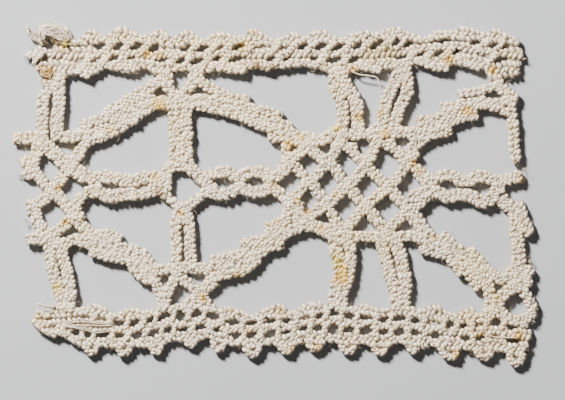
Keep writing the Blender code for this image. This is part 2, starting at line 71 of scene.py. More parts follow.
# Floor and light, in metres and watts. Lights: name, size, power, place.
FLOOR_REACH = 1.5
FLOOR_LEVEL = -0.0001
WORLD_STRENGTH = 0.05
LIGHTS = (
    ("key", 0.12, 22.0, (-0.36, 0.48, 0.42)),
    ("fill", 0.9, 0.6, (0.6, -0.3, 0.8)),
)

# Yarns, in steps: half sizes, height of the middle, and shares at the tips of a tube.
YARN_HALF_WIDTH = 1.88
YARN_HALF_HEIGHT = 1.8
YARN_LEVEL = 4.2
LOWEST_CENTRE = 0.15
YARN_SIDES = 7
YARN_ROUGH = 0.09
TIP_SHARES = (0.45, 0.88)
TINY = 1e-12

# Curves: points between two places, fewest points in all.
SPAN_POINTS = 12
LEAST_POINTS = 4

# Braids: steps in a full turn, rise at a crossing, and how far a strand swings at an end.
BRAID_PITCH = 29.5
PITCH_RANGE = (0.93, 1.07)
CROSSING_RISE = 1.65
SWING_SHAPE = 0.95
END_SWING = 0.06
LEAST_ROUNDING = 0.5
CROWN_SWELL = 0.2
# Painted light on a yarn where it lies on top at a crossing, painted shade where it goes under.
CROWN_PAINTED_LIGHT = 0.07
# Painted shade in the creases, where a yarn goes under at a crossing.
CREASE_SHADE_DEPTH = 0.9

# Unevenness of a braid: size of the wave, steps from bend to bend.
PATH_WAVE = (0.55, 9)
HALF_WAVE = (0.05, 7)
TURN_WAVE = (0.05, 9)
SWING_WAVE = (0.14, 3.5)
THICK_WAVE = (0.2, 2.6)
LEVEL_WAVE = (0.6, 4)
TONE_WAVE = (0.1, 3)
HUE_WAVE = (1.0, 5)
THICK_RANGE = (0.9, 1.1)
TONE_RANGE = (0.92, 1.06)

# Plaits: widths from which strands are added, yarn of the thin ones, and share of
# the width by which a plait reaches past its last place.
SIX_STRANDS_FROM = 12.3
SEVEN_STRANDS_FROM = 15.0
FULL_YARN_FROM = 10
THIN_YARN = 0.95
END_SHARE = 0.28
OVER_LIFT = 0.7
LOBE_LIFT = 1.0

# Headings. Rows: strands, lift, steps left off at both ends. Gaps: steps of slope
# beside a gap, its roundness and the room past it. Links at each seam: height, lean,
# greatest width.
HEADING_ROWS = ((4, 0.0, 3), (3, -0.6, 0), (4, 0.0, 3))
ROW_OVERLAP = 0.8
SEAM_SHARES = (0.36, 0.66)
SEAM_ROOM = 0.2
GAP_SLOPE = 3.2
GAP_POWER = 1.3
GAP_ROOM = 0.6
UPPER_PITCHES = (22, 17, 22)
LOWER_PITCHES = (22, 15, 22)
UPPER_LEAN = 0.26
LOWER_LEAN = 0.1
UPPER_LINKS = ((14, 0.9, 8.5), (13, 0.8, 8.5))
LOWER_LINKS = ((13, 0.25, 7.0), (12, 0.1, 7.0))
LINK_REACH = 26
LINK_LEAST_HALF = 2.6

# Picots: half width of the braid and its distance inside the loop's edge. Places, from
# the tip outwards: share of the loop's reach, steps beyond it, steps back.
PICOT_HALF = 3.9
PICOT_INSET = 3.4
PICOT_PLACES = ((0, 0, PICOT_HALF), (0.55, 0, 5), (1, 0, 9.5), (1, 1.5, 15))

# Small braids: strands, steps in a full turn, yarn, lift, and rounding of the ends.
LINK_BRAID = (3, 13.0, 0.92, 0.9)
PICOT_BRAID = (3, 13.0, 0.9, 0.1, 0.4)

# Core sheet, in metres: inset in plan, underside, least height of the top and its rise
# from there. Walls: greatest slope of their normals, and lengths that count as none.
CORE_INSET = 0.00028
CORE_LOW = 0.0001
CORE_TOP = 0.0003
CORE_RISE = 0.0008
WALL_SLOPE = 0.2
MERGE_DISTANCE = 1e-6
LEAST_DIRECTION = 1e-6

# Shade on a yarn's sides, random start of its fibres, their noise along and around it.
SIDE_SHADE = 0.8
SHADE_START = 0.45
FIBRE_SHIFT = 0.5
FIBRE_STRETCH = (1500.0, 5.0, 1.0)

# Colours, linear.
CREAM = (0.745, 0.592, 0.388)
# Painted shade in the creases and on the yarns' sides and undersides.
SHADE_COLOUR = (0.19, 0.148, 0.104)
# Painted shade: the core sheet's colour, seen between the yarns.
CORE_SHADE_COLOUR = (0.44, 0.375, 0.305, 1.0)
FLOOR_COLOUR = (0.48, 0.485, 0.495, 1.0)
STAIN_COLOURS = {
    "orange": (0.64, 0.37, 0.03),
    "rust": (0.40, 0.20, 0.035),
    "brown": (0.28, 0.18, 0.06),
    "yellow": (0.66, 0.50, 0.08),
    "tan": (0.47, 0.36, 0.12),
}

# Stains: reach in radii, strength and its limit.
STAIN_REACH = 1.35
STAIN_STRENGTH = 1.9
STAIN_LIMIT = 0.9

# Uneven dye. Areas: size in metres, seed of the noise. Changes of red, green, blue.
WARM_AREAS = (0.011, 5)
LIGHT_AREAS = (0.0035, 6)
STAIN_AREAS = (0.0009, 7)
WARM_CHANGE = (0.02, 0.0, -0.1)
HUE_CHANGE = (0.015, -0.01, -0.06)
LIGHT_CHANGE = 0.05
STAIN_RAGGED = 0.45
NOISE_GRID = 64
NOISE_START = 500.0

# Loose threads and the coil, in steps.
THREAD_LEVEL = 8.0
THREAD_SIDES = 5
THREAD_WAVE = (0.3, 6)
THREAD_LEVEL_WAVE = (0.4, 10)
COIL_POINTS = 60
COIL_SHRINK = 0.86
COIL_LEVEL = 8.2
COIL_RISE = 0.9
COIL_HALF_SIZES = (0.85, 0.95)

# Tufts: fibres for each step of width, share of the path that a fibre takes, its
# drift, the tuft's height and the fibre's half thickness.
TUFT_FIBRES = 6
TUFT_SHARE = (0.3, 0.75)
TUFT_SHORTEST = 6
TUFT_DRIFT = (-0.8, 0.8)
TUFT_WANDER = (0.14, 5)
TUFT_EDGE = 0.52
TUFT_CROWN = 9.8
TUFT_FALL = 4.6
TUFT_CROWN_RANGE = (-1.4, 0.6)
TUFT_CROWN_WAVE = (0.8, 5)
TUFT_LOWEST = 1.2
TUFT_HALF = (0.45, 0.95)
TUFT_HALF_WAVE = (0.3, 4)
TUFT_TONE = (0.84, 1.12)
# Random share of the painted shade for each fibre of a tuft.
TUFT_SHADE = (0, 0.35)

# Curled fibres: bend from point to point, range of the steady curl, range of the level
# at the start, climb from point to point, lowest and highest level.
FRAY_CURVE = (0.35, (-0.12, 0.12), (1.5, 6.5), 0.35, (0.6, 8.0))
HAIR_CURVE = (0.28, (-0.15, 0.15), (2.0, 6.5), 0.5, (0.3, 8.2))

# Frays: degrees to either side, and ranges for one fibre.
FRAY_FAN = (-65, 65)
FRAY_SCATTER = 0.35
FRAY_LENGTH = (0.5, 1.3)
FRAY_FEWEST = 5
FRAY_HALF = (0.28, 0.6)
FRAY_TIP = 0.5
FRAY_TONE = (0.95, 1.08)

# Hairs: their number, distance inside the plait's edge, and ranges for one hair.
HAIR_COUNT = 1100
HAIR_INSET = 1.5
HAIR_FAN = (-1.1, 1.1)
HAIR_POINTS = 6
HAIR_LENGTH = (3.0, 9.0)
HAIR_HALF = (0.07, 0.13)
HAIR_TONE = 1.05

# Seeds of the random draws.
FIELD_SEED = 11
UPPER_SEED = 31
LOWER_SEED = 41
LOOSE_SEED = 51

# Plaits of the field: name, width in steps, places along the middle.
LEFT_END = (
    ("bar_left_upper_a", 13.6, ((52, 74), (48, 88), (43, 102), (42.6, 116), (42.5, 132))),
    ("bar_left_upper_b", 13.2, ((60, 74), (60, 90), (59.6, 104), (58.8, 117), (58.5, 132))),
    ("left_stub_top", 13.0, ((17, 139), (30, 138), (44, 137))),
    ("left_edge_upper", 14.0, ((28, 175.5), (32.5, 165), (38, 150), (42, 136))),
    ("left_fall_a", 15.5, ((38, 138), (50.5, 149.5), (62, 160), (72.5, 168.3), (84, 175.5))),
    ("left_fall_b", 12.5,
     ((25, 160), (35.5, 172.5), (45.5, 184), (58, 196), (69.5, 208), (80.5, 218.5))),
    ("left_rise_a", 13.0, ((35, 206), (45, 198.5), (55.5, 187.5), (65, 173.5), (72, 163), (80, 152))),
    ("left_rise_b", 13.0, ((30, 239), (47, 237), (60, 229.5), (71, 218.5), (76.4, 207), (81, 197))),
    ("left_edge_lower", 14.5, ((33.5, 204), (34, 212), (37.5, 221.5), (45.5, 232), (54, 242))),
    ("left_foot", 12.0, ((34, 240), (50, 241), (64, 243), (76, 239), (90, 241))),
    ("left_link", 12.0, ((54, 136), (66, 137.5), (82, 135))),
    ("bar_left_lower_a", 12.8, ((50.5, 244), (51.5, 262), (55, 278), (59.5, 292), (65, 306))),
    ("bar_left_lower_b", 13.0, ((61, 244), (64.8, 262), (68.5, 280), (70.5, 294), (68.5, 308))),
    ("cross_left_a", 14.5,
     ((80, 173), (94, 179.3), (106, 176.5), (118, 179.5), (134, 181), (146, 177.3), (156, 177.8),
      (168, 180))),
    ("cross_left_b", 14.5, ((88, 193), (97, 191), (107, 196), (119, 195.5), (134, 194))),
    ("cross_left_c", 10.8, ((126, 195.2), (140, 195.2), (152, 192.8), (168, 187))),
)
LEAVES_LEFT = (
    ("leaf_a1", 12.0, ((83, 125.5), (94, 122), (108, 117), (126, 109), (142, 101), (153, 99.5))),
    ("leaf_a2", 12.0, ((107, 113), (124, 103), (141, 93), (158, 83), (168, 74))),
    ("leaf_a3", 13.0, ((84, 137), (97, 133), (114, 126), (131, 117), (146, 107), (164, 102))),
    ("leaf_a4", 12.0, ((68, 166), (76, 156.6), (83, 147), (89, 141), (100, 134))),
    ("leaf_a5", 12.0, ((98, 138), (108, 134), (120, 128.5), (132, 121), (144, 112), (158, 102))),
    ("leaf_a6", 11.0, ((66, 137), (76, 134.5), (88, 129))),
    ("star_top_fall", 12.0, ((162, 74), (168, 87), (180, 98), (196, 105), (210, 108))),
    ("star_top_rise", 12.0, ((200, 72), (193, 83), (183, 95), (170, 102), (154, 104))),
    ("star_top_left", 10.0, ((152, 84), (162, 82), (170, 84))),
    ("star_waist_top", 13.0, ((156, 104), (170, 104.6), (186, 102.6), (206, 100))),
    ("bar_star_upper_a", 13.5,
     ((172, 102), (174.5, 116), (175, 132), (175, 148), (174.5, 160), (168.5, 171), (159, 183))),
    ("bar_star_upper_b", 13.5,
     ((189, 102), (186.5, 116), (187, 132), (186.5, 150), (188, 163), (196.5, 174.3), (207, 182.5))),
    ("bar_star_lower_a", 12.0,
     ((182, 205), (178.4, 214), (176, 224), (175.8, 238), (177, 252), (174, 268))),
    ("bar_star_lower_b", 12.5,
     ((184.2, 205), (186.8, 214), (189.5, 224), (190, 240), (190.8, 256), (194, 268))),
    ("star_waist_low", 13.0, ((146, 268.5), (160, 270), (176, 268.5), (192, 267.5), (208, 270.5))),
    ("star_foot_a", 12.0, ((150, 268), (156.8, 284), (162, 297), (163.6, 307))),
    ("star_foot_b", 11.0, ((180, 270), (173, 282), (167.5, 296.5), (162.5, 307))),
    ("star_foot_c", 12.5, ((176, 274), (188.5, 284), (200, 292), (206, 302), (210.5, 308))),
    ("star_foot_d", 13.5, ((215, 280), (205, 289.5), (193.5, 300.5), (185, 307.5))),
    ("leaf_d1", 13.0, ((73, 213.5), (82.6, 226.2), (95, 235.5), (108, 235), (118, 238))),
    ("leaf_d2", 12.0, ((90, 234), (108, 242), (124, 248), (139, 250.5), (149, 262))),
    ("leaf_d3", 12.5, ((78, 240), (92, 245), (108, 250), (126, 256), (142, 263), (156, 269))),
    ("leaf_d4", 12.0, ((92.5, 251.8), (103, 254.5), (114, 257.5), (130, 261), (146, 268))),
    ("leaf_d5", 13.0, ((134, 267.5), (141, 274.5), (147, 278.8), (154.5, 278))),
    ("star_join_upper", 11.0, ((181.5, 146), (181.5, 158), (181.5, 168))),
    ("star_arm_low_left", 10.5, ((152, 186), (162.6, 192.6), (175, 203.6), (180.5, 212))),
    ("star_arm_low_right", 10.5, ((214, 186), (204.3, 194), (191.8, 204), (186, 211.5))),
)
LEAVES_MIDDLE = (
    ("cross_mid_a", 13.0,
     ((203, 177), (210, 175.5), (218, 173), (226, 171), (238, 177), (251, 171.5), (262, 172),
      (272, 177))),
    ("cross_mid_b", 13.0,
     ((204, 192.5), (214, 193), (228, 194.5), (240, 187.5), (252, 192), (262, 191.5), (272, 188))),
    ("leaf_b1", 12.0, ((192, 76), (204, 84), (218, 92.5), (232, 99), (247, 99.5))),
    ("leaf_b2", 12.0, ((211, 99.5), (226, 104), (248, 107.5), (268, 111.5), (279, 116))),
    ("leaf_b3", 12.5,
     ((196, 100), (206, 102.3), (216, 108.8), (234, 113), (254, 119), (272, 123), (290, 128))),
    ("leaf_b4", 12.0, ((243, 117), (254, 122.5), (266, 126.5), (286, 131), (302, 137), (322, 139.5))),
    ("leaf_b5", 12.0, ((271, 137.5), (281, 137.5), (292, 139), (304, 143))),
    ("leaf_c1", 12.0, ((267, 227.5), (280, 224), (294, 214), (300, 204))),
    ("leaf_c2", 12.0, ((268, 232), (284, 231), (300, 227), (316, 226))),
    ("leaf_c3", 12.0, ((243, 243), (260, 241), (280, 236.5), (298, 229))),
    ("leaf_c4", 11.5, ((212, 259.5), (232, 256), (250, 252), (266, 247), (281, 245.5))),
    ("leaf_c5", 11.0, ((198, 268), (216, 266), (234, 262), (250, 258), (266, 251))),
    ("leaf_c6", 11.0, ((208, 282), (217, 275), (230, 269), (244, 269), (257, 260.5))),
    ("leaf_c7", 10.0, ((207, 282.5), (218, 277), (232, 273.5), (242, 272.5))),
)
LATTICE = (
    ("fall_e", 12.5,
     ((268, 184), (276, 190.5), (286.5, 199), (296, 211.8), (310, 223), (326, 233), (344, 240))),
    ("fall_a", 12.0,
     ((288, 156), (298, 170), (310.3, 181.8), (321.8, 196), (329.5, 209.5), (339.5, 227), (351, 238))),
    ("fall_b", 13.0,
     ((306, 142), (316.5, 154), (332, 166.5), (347.5, 186.5), (359.5, 200), (371.5, 213.5), (385, 230),
      (395, 240))),
    ("fall_c", 12.5,
     ((358, 157), (372, 171.5), (388, 187.5), (400.5, 201), (413, 213.5), (425.5, 231))),
    ("fall_d", 12.0, ((380, 137), (395.5, 150.6), (409, 164.2), (420.8, 172.6), (431, 183))),
    ("rise_e", 13.0,
     ((268, 181), (277, 176), (287, 168.5), (295, 157), (308, 146), (324, 139.5), (340, 129))),
    ("rise_a", 11.5, ((288, 206), (299, 193), (312, 179), (325, 166), (337, 150), (342, 134))),
    ("rise_b", 12.5,
     ((306, 221), (318, 210), (332.5, 200.5), (345.5, 186.5), (357.5, 176.6), (367.2, 163.2), (374.2, 149.4),
      (380, 134))),
    ("rise_c", 12.0,
     ((342, 233), (355, 219), (367, 206), (379.5, 194.5), (391.8, 184.7), (404, 169.8), (414.5, 153))),
    ("rise_d", 12.0, ((385, 233), (396.5, 221.5), (407.5, 212), (421.3, 201.5), (431, 193.5))),
    ("band_top_a", 12.0, ((300, 139), (318, 140), (338, 135), (356, 135), (372, 134))),
    ("band_top_b", 11.6, ((366, 135), (384, 134), (402, 133.2), (413, 131.8))),
    ("band_top_c", 10.0, ((392, 127), (402, 131), (414, 136.5))),
    ("band_top_d", 9.0, ((334, 146), (345, 147), (354, 146))),
    ("band_low_a", 12.5, ((296, 224.5), (314, 226), (332, 231), (350, 236), (366, 236.5), (382, 237))),
    ("band_low_b", 12.5, ((378, 237), (394, 238), (410, 236), (426, 240))),
    ("lattice_left_low", 12.0, ((289, 196), (289, 210), (284, 222))),
    ("bar_mid_upper_a", 13.4, ((334, 70), (335.5, 88), (341.4, 103), (343.2, 118), (343, 134))),
    ("bar_mid_upper_b", 13.4, ((340, 70), (347, 87), (355.6, 100), (356.9, 112), (357.3, 124), (361, 134))),
    ("bar_mid_upper_c", 13.5,
     ((399, 70), (393.4, 86), (387.2, 98), (384.3, 111), (381.8, 124), (369, 137))),
    ("bar_mid_upper_d", 13.5,
     ((405, 68), (407.6, 86), (403.5, 101), (397, 115), (392.6, 130), (385, 145))),
    ("bar_mid_lower_a", 13.5,
     ((333.5, 234), (336.5, 250), (339.5, 264), (339.5, 278), (335, 291), (333.4, 303))),
    ("bar_mid_lower_b", 13.0,
     ((346, 236), (350, 250), (350, 264), (347.5, 280), (341.5, 294), (341.5, 308))),
    ("bar_mid_lower_c", 13.0,
     ((380, 238), (383.5, 250), (388, 264), (391, 279), (396, 292), (397, 306.5))),
    ("bar_mid_lower_d", 14.0,
     ((393, 238), (399.5, 251), (401.5, 264), (405.5, 279), (404.5, 294), (402.8, 306.5))),
    ("lattice_left_top", 10.5, ((285.5, 140), (286, 150), (286, 160), (281, 170))),
    ("fall_c_top", 10.5, ((342, 141), (349, 149), (358, 158))),
)
RIGHT_END = (
    ("leaf_e1", 12.0, ((418.5, 119.5), (432, 121), (448, 114), (464, 108), (482, 103.5), (502, 103.5))),
    ("leaf_e2", 12.0, ((443, 106.5), (454, 107), (466, 103.5), (480, 101.5), (494, 105))),
    ("leaf_e3", 10.4, ((460, 93), (472, 93.5), (485, 89.8), (500, 84.8))),
    ("leaf_e4", 12.0, ((412, 139), (424, 131.5), (438, 126), (450, 122), (466, 116), (475, 115))),
    ("leaf_e5", 13.0, ((404, 156), (416, 145), (430, 134.5), (448, 131.5))),
    ("leaf_e6", 12.0, ((409, 134), (421, 128.5), (436, 127))),
    ("cross_right_a", 14.0,
     ((418, 172), (425, 180), (437, 178), (449, 174.5), (465, 181.6), (480, 175.8), (497, 181),
      (518, 177))),
    ("cross_right_b", 14.0,
     ((413, 196.4), (425.5, 191.6), (437, 192), (448, 197), (460, 194.3), (472, 196.3), (484, 202.8),
      (493, 197), (499, 188.5))),
    ("right_neck", 12.0,
     ((496, 78), (503, 89), (509.5, 101), (512, 116), (514, 132), (514, 147), (517, 159.8))),
    ("right_shoulder", 11.0, ((496, 84), (505, 92), (515, 99))),
    ("right_bar", 15.0,
     ((502, 199.5), (511.5, 208.5), (516.5, 217), (516, 232), (518, 247), (518.5, 260), (512, 273))),
    ("right_stub", 12.0, ((519, 205.5), (523, 216), (528.5, 233))),
    ("right_band", 13.0, ((486, 270), (498, 278), (512, 278), (529, 270))),
    ("right_foot_a", 13.0, ((476, 268), (486, 282), (489.5, 294), (491, 303), (487, 315))),
    ("right_foot_b", 13.0, ((528, 281.5), (515, 287), (503, 295), (495, 308), (486, 318))),
    ("right_foot_c", 12.0, ((512, 280), (523.5, 292), (530.5, 303), (533, 309))),
    ("right_foot_d", 12.0, ((496, 304), (506, 316.5), (520, 321), (533, 313))),
    ("leaf_f1", 13.0,
     ((412, 217), (424, 231), (437.5, 241), (452, 246.5), (466, 255), (479, 264), (490, 274.5))),
    ("leaf_f2", 11.0, ((444, 235.5), (454, 244.5), (465, 255))),
    ("leaf_f3", 11.0, ((470.5, 250), (480, 260), (489, 274))),
    ("leaf_f4", 12.0, ((422, 249.5), (436, 252), (448, 256), (462, 262.5), (478, 270))),
    ("leaf_f5", 10.5, ((450.5, 260.5), (456.5, 267.5), (460, 272.5))),
    ("leaf_f6", 12.0, ((463.5, 264.5), (470.5, 276.5), (478, 286.5))),
    ("leaf_f7", 12.0, ((416, 236), (430, 244), (446, 250))),
    ("right_elbow", 10.0, ((482, 105), (494, 107.6), (507, 112))),
)

# Pieces of the field: name, plaits.
FIELD = (
    ("yarns_left_end", LEFT_END),
    ("yarns_leaves_left", LEAVES_LEFT),
    ("yarns_leaves_middle", LEAVES_MIDDLE),
    ("yarns_lattice", LATTICE),
    ("yarns_right_end", RIGHT_END),
)

# Headings: place along the strip, upper edge, lower edge.
UPPER_HEADING = (
    (35, 40, 64), (38, 27, 70), (43, 22.5, 76), (55, 23.5, 82), (66, 26.5, 79), (76, 41, 75),
    (91, 28, 76), (96, 30.5, 75), (106, 35, 70), (121, 25, 73), (134, 31, 74), (144, 35, 70),
    (158, 29, 76), (165, 31, 75), (170, 38, 74), (187, 30, 72), (204, 38, 76), (212, 34, 72.5),
    (220, 30.5, 73), (240, 35, 75), (255, 28, 69), (272, 38, 69.5), (284, 35.5, 69), (293, 31, 68.5),
    (306, 36, 68), (320, 29, 71), (340, 37, 77), (360, 29, 71), (376, 32, 72), (395, 26, 70),
    (422, 36, 66), (439, 30, 71), (452, 30, 66), (466, 26, 68), (484, 32, 70), (489, 31, 80),
    (496, 28, 82), (508, 34, 79), (512, 35, 80), (518, 38.5, 78), (521, 46, 76), (522.5, 58, 64),
)
LOWER_HEADING = (
    (32, 316, 322), (38, 309, 328), (43, 311.5, 332), (46, 314.5, 334.5), (50, 311.5, 336.6),
    (55, 306, 338), (62, 302, 337), (79, 307, 346.5), (95, 303, 347),
    (104, 305.5, 348), (112, 312, 350), (118, 312.5, 348), (128, 307, 347), (144, 309.5, 349),
    (152, 308.5, 349), (158, 306, 348), (174, 303.5, 342.5), (190, 303, 345), (206, 305, 340),
    (212, 306.5, 342), (221, 308.5, 344), (227, 305.5, 345.5), (236, 308, 347), (244, 310, 347),
    (251, 314, 350),
    (268, 306, 346), (281, 303, 350), (288, 311, 350), (304, 304, 344.5), (318, 300, 346),
    (322, 305, 344), (329, 303.5, 343), (346, 305, 347), (356, 306, 346), (363, 302, 345),
    (380, 308, 349), (398, 305, 344), (410, 305.5, 347), (421, 308, 350), (434, 302.5, 347.5),
    (450, 312, 353), (466, 309, 351), (472, 306.5, 352), (478, 313, 355), (494, 307, 353),
    (508, 315, 355),
    (523, 321.5, 358), (528.5, 323, 357.5), (531, 327, 344),
)

# Gaps between the rows: place of the middle, width, height.
UPPER_GAPS_FIRST = (
    (49.5, 45.5, 7, 8), (100, 46.5, 8, 7), (119, 47, 8, 7), (137, 46, 10, 8),
    (154.5, 48.5, 7, 7), (186, 49, 8, 4), (203, 49, 10, 7), (220, 48, 5, 3), (238, 47, 8, 6),
    (262, 47, 5, 3), (288, 48, 4, 4), (303, 46, 10, 6), (321, 47, 12, 6), (339, 47, 11, 6),
    (358, 46.5, 9, 5), (377, 44.5, 12, 8), (396, 42, 7, 6), (408, 45, 7, 5), (443, 40.5, 9, 5),
    (476, 43, 6, 4), (493, 46, 6, 4), (507, 46.5, 9, 3),
)
UPPER_GAPS_SECOND = (
    (45, 58, 3, 4), (79, 62.5, 4, 5), (97, 60, 4, 3), (115, 58, 7, 6), (132, 58.5, 8, 3),
    (164, 60.5, 10, 5), (181, 60.5, 8, 6), (197, 62, 12, 6), (216, 59.5, 8, 6), (236, 59.5, 10, 6),
    (271, 59, 8, 5), (287, 59, 8, 4), (314, 59, 5, 4), (334, 60.5, 12, 6), (354, 59.5, 8, 6),
    (402, 58, 9, 4), (421, 54.5, 9, 5), (439, 53.5, 9, 6), (455, 52, 6, 5), (485, 56, 8, 3),
    (501, 60.5, 11, 7),
)
LOWER_GAPS_FIRST = (
    (50, 319, 3, 3), (84, 316.5, 4, 3), (104, 320, 4, 3), (120, 323.5, 10, 6), (135, 323, 8, 6),
    (151.5, 320, 7, 6), (164, 315.5, 14, 7), (181, 316, 9, 10), (197, 313, 9, 8), (213.5, 316, 12, 8),
    (233, 323, 12, 5), (252, 323, 8, 4), (270, 321, 9, 4), (288, 321, 7, 4), (306, 318, 7, 3),
    (320.5, 316, 5, 6), (335, 311, 9, 9), (350, 316.5, 8, 6), (366, 318, 11, 4), (384, 320, 7, 5),
    (399.5, 318, 12, 6), (415.5, 320.5, 6, 7), (435, 324, 11, 3), (450, 324.5, 6, 7),
    (463.5, 326, 6, 4), (480, 325, 4, 3), (495.5, 321.5, 9, 9), (511.5, 327, 8, 8),
)
LOWER_GAPS_SECOND = (
    (52, 328, 3, 3), (76, 333, 6, 6), (88, 335, 5, 6), (103, 335, 12, 6), (120, 335.5, 7, 4),
    (137.5, 335.5, 9, 7), (154, 333, 10, 7), (168.5, 329.5, 7, 6), (183, 329, 12, 4),
    (201, 327, 10, 5), (217, 330, 6, 4), (236, 336, 8, 6), (252, 335, 8, 6), (270.5, 333.5, 9, 9),
    (286, 332.5, 6, 5), (303.5, 328, 7, 4), (318, 328, 8, 6), (333.5, 329, 9, 11), (349, 330, 10, 7),
    (366, 330.5, 12, 9), (383.5, 332, 7, 6), (400, 331.5, 8, 7), (415, 332.5, 8, 5), (435, 335, 8, 6),
    (465.5, 338, 8, 6), (480, 338.5, 7, 5), (496, 335, 6, 3), (512, 341, 9, 4),
)
UPPER_GAPS = (UPPER_GAPS_FIRST, UPPER_GAPS_SECOND)
LOWER_GAPS = (LOWER_GAPS_FIRST, LOWER_GAPS_SECOND)

# Picots along the lower heading: place of the tip, half width.
PICOTS = (
    (91.5, 356.5, 9), (124.5, 357.5, 9), (156, 355.5, 8.5), (191, 349, 8), (219, 353, 8),
    (252.5, 358, 10), (286, 355, 10), (315.5, 353, 9.5), (348, 355.5, 9.5), (380, 356, 10),
    (413, 355, 8.5), (449.5, 361, 11), (484, 361.5, 10.5), (516, 368, 9),
)

# Places of the stains: place, radius, strength, colour.
STAINS = (
    (47.5, 73, 6, 1.0, "rust"), (147, 54, 5, 0.5, "orange"), (160, 55, 4, 0.4, "orange"),
    (243, 46, 5, 0.5, "orange"), (241, 52, 4, 0.4, "tan"), (252, 30, 4, 0.4, "orange"),
    (256, 68, 7, 0.6, "brown"), (272, 69, 7, 0.6, "brown"), (57, 43, 5, 0.5, "brown"),
    (66, 45, 5, 0.5, "yellow"), (372, 50, 10, 0.35, "tan"), (387, 52, 10, 0.4, "tan"),
    (325, 66, 4, 0.4, "tan"), (353, 69, 4, 0.5, "orange"), (358, 117.5, 5, 0.5, "orange"),
    (379, 113, 5.5, 0.5, "orange"), (449, 59, 6, 0.55, "orange"), (492, 70, 4.5, 0.55, "orange"),
    (467, 111, 6, 0.55, "orange"), (506, 126, 4, 0.35, "orange"), (160, 105, 7, 0.5, "orange"),
    (58, 187, 4, 0.45, "orange"), (73, 150, 4, 0.35, "yellow"), (110, 130, 6, 0.35, "yellow"),
    (160, 193, 6, 0.5, "brown"), (155, 177, 4, 0.4, "orange"), (180, 213, 4, 0.5, "orange"),
    (275, 186, 4, 0.4, "orange"), (289, 146, 5, 0.5, "orange"), (302, 137, 4, 0.4, "orange"),
    (336, 127.5, 5, 0.55, "yellow"), (386, 134, 4.5, 0.5, "orange"), (413, 163, 5, 0.45, "orange"),
    (421, 170, 4, 0.4, "orange"), (523, 180, 5, 0.5, "orange"), (65, 222, 5, 0.45, "orange"),
    (336, 195, 4, 0.4, "orange"), (308, 212, 4, 0.45, "orange"), (297, 200, 4, 0.4, "orange"),
    (276, 220, 4, 0.4, "orange"), (322, 228, 4, 0.4, "orange"), (336, 262, 9, 0.55, "yellow"),
    (342, 276, 9, 0.55, "orange"), (433, 238, 4, 0.4, "orange"), (203, 297, 5, 0.5, "orange"),
    (238, 275, 5, 0.45, "orange"), (232, 307, 5, 0.4, "orange"), (281, 310, 4, 0.4, "orange"),
    (291, 348, 4, 0.4, "orange"), (318, 347, 4, 0.4, "orange"), (40, 318, 5, 0.4, "tan"),
    (56, 288, 6, 0.5, "yellow"), (456, 355, 4, 0.45, "orange"), (480, 335, 5, 0.4, "orange"),
    (519, 335, 6, 0.45, "orange"), (497, 297, 4, 0.4, "orange"), (250, 330, 4, 0.35, "orange"),
)

# Loose threads: half thickness, places.
LOOSE_THREADS = (
    (0.85, ((352, 72), (360, 75), (370, 76), (376.5, 78), (379.5, 82), (380, 87), (379, 92), (376.5, 94),
            (375, 92))),
    (0.7, ((63, 325), (70, 321.5), (80, 319), (94, 321.5), (109, 322.5), (114, 324))),
    (0.65, ((63, 325.2), (71, 323), (82, 321.5), (96, 323.2), (112, 324.5))),
    (0.75, ((63, 325.5), (72, 325), (84, 324.8), (98, 325.2), (112, 325.5))),
    (0.65, ((63, 326), (71, 327), (82, 329.2), (94, 332), (104, 332), (111, 330))),
    (0.6, ((64, 326), (72, 326.4), (84, 328), (97, 330.4), (110, 328.6))),
    (0.5, ((54, 305), (50.5, 308), (49.4, 314))),
    (0.5, ((56, 305.5), (52.5, 309), (51, 314))),
    (0.8, ((480, 330), (484, 331.6), (492.5, 336.5), (504, 337.5), (518, 337.7))),
    (1.7, ((56, 307), (47, 306), (42, 304.5), (38.5, 303.5))),
    (0.9, ((44, 86), (41, 82), (39, 79))),
)

# Coil of a spare yarn below the left end of the upper heading: place, radius, turns.
COIL = (47.3, 72.6, 5.2, 2.6)

# Combed fibres of the unravelled corner: width of the bundle, places.
TUFTS = (
    (13.0, ((42, 42), (43.5, 34.3), (49, 30.8), (57, 31.3), (64, 35.5), (69, 43))),
    (9.0, ((40, 38), (46, 35), (54, 36), (61, 40), (68, 46))),
    (3.4, ((28.6, 23.5), (28.2, 29), (30.2, 34.2), (34, 38.8), (40, 42))),
    (5.0, ((34, 66), (37, 60), (42, 56), (46, 52))),
)

# Short plaits at the left end and the inner edge of the upper heading: width, places.
HEADING_LOBES = (
    (8.5, ((28.5, 56.2), (33, 54.2), (41, 54.5))),
    (9.0, ((36, 59.5), (38.5, 66), (45, 73))),
    (9.0, ((78, 71), (83, 73), (88, 75))),
    (9.0, ((112, 64), (123, 66.6), (133, 68.2))),
    (10.0, ((214, 66), (230, 69), (243, 70))),
    (9.0, ((252, 64), (266, 67), (276, 66))),
    (9.0, ((360, 66), (372, 69), (379, 70))),
    (10.0, ((418, 60), (432, 66), (446, 67))),
    (8.0, ((456, 58), (467, 64), (478, 67))),
)

# Frayed ends: place, spread, direction in degrees, number of fibres.
FRAYS = (
    (26, 56.5, 3.5, 180, 10), (39, 30, 3.5, 150, 12), (34, 47, 3.5, 180, 7), (17, 139, 5, 180, 12),
    (21, 160, 4, 180, 8), (21, 176, 4, 200, 9), (29, 202, 3.5, 180, 8), (28, 222, 3.5, 180, 8),
    (29, 239, 4, 180, 10), (33, 319, 3.5, 180, 10), (517, 163, 3, -80, 8), (522, 171, 3.5, 10, 8),
    (522, 182, 3.5, -10, 8), (529, 233, 3.5, 0, 10), (529, 262, 3.5, 10, 10), (528, 276, 3.5, 0, 9),
    (534, 310, 3.5, 0, 9), (532, 320, 4, 0, 9), (521, 58, 4, 0, 9), (41, 80, 3.5, 180, 7),
)


def ease(t):
    """Smooth step from 0 to 1."""
    return t * t * (3 - 2 * t)


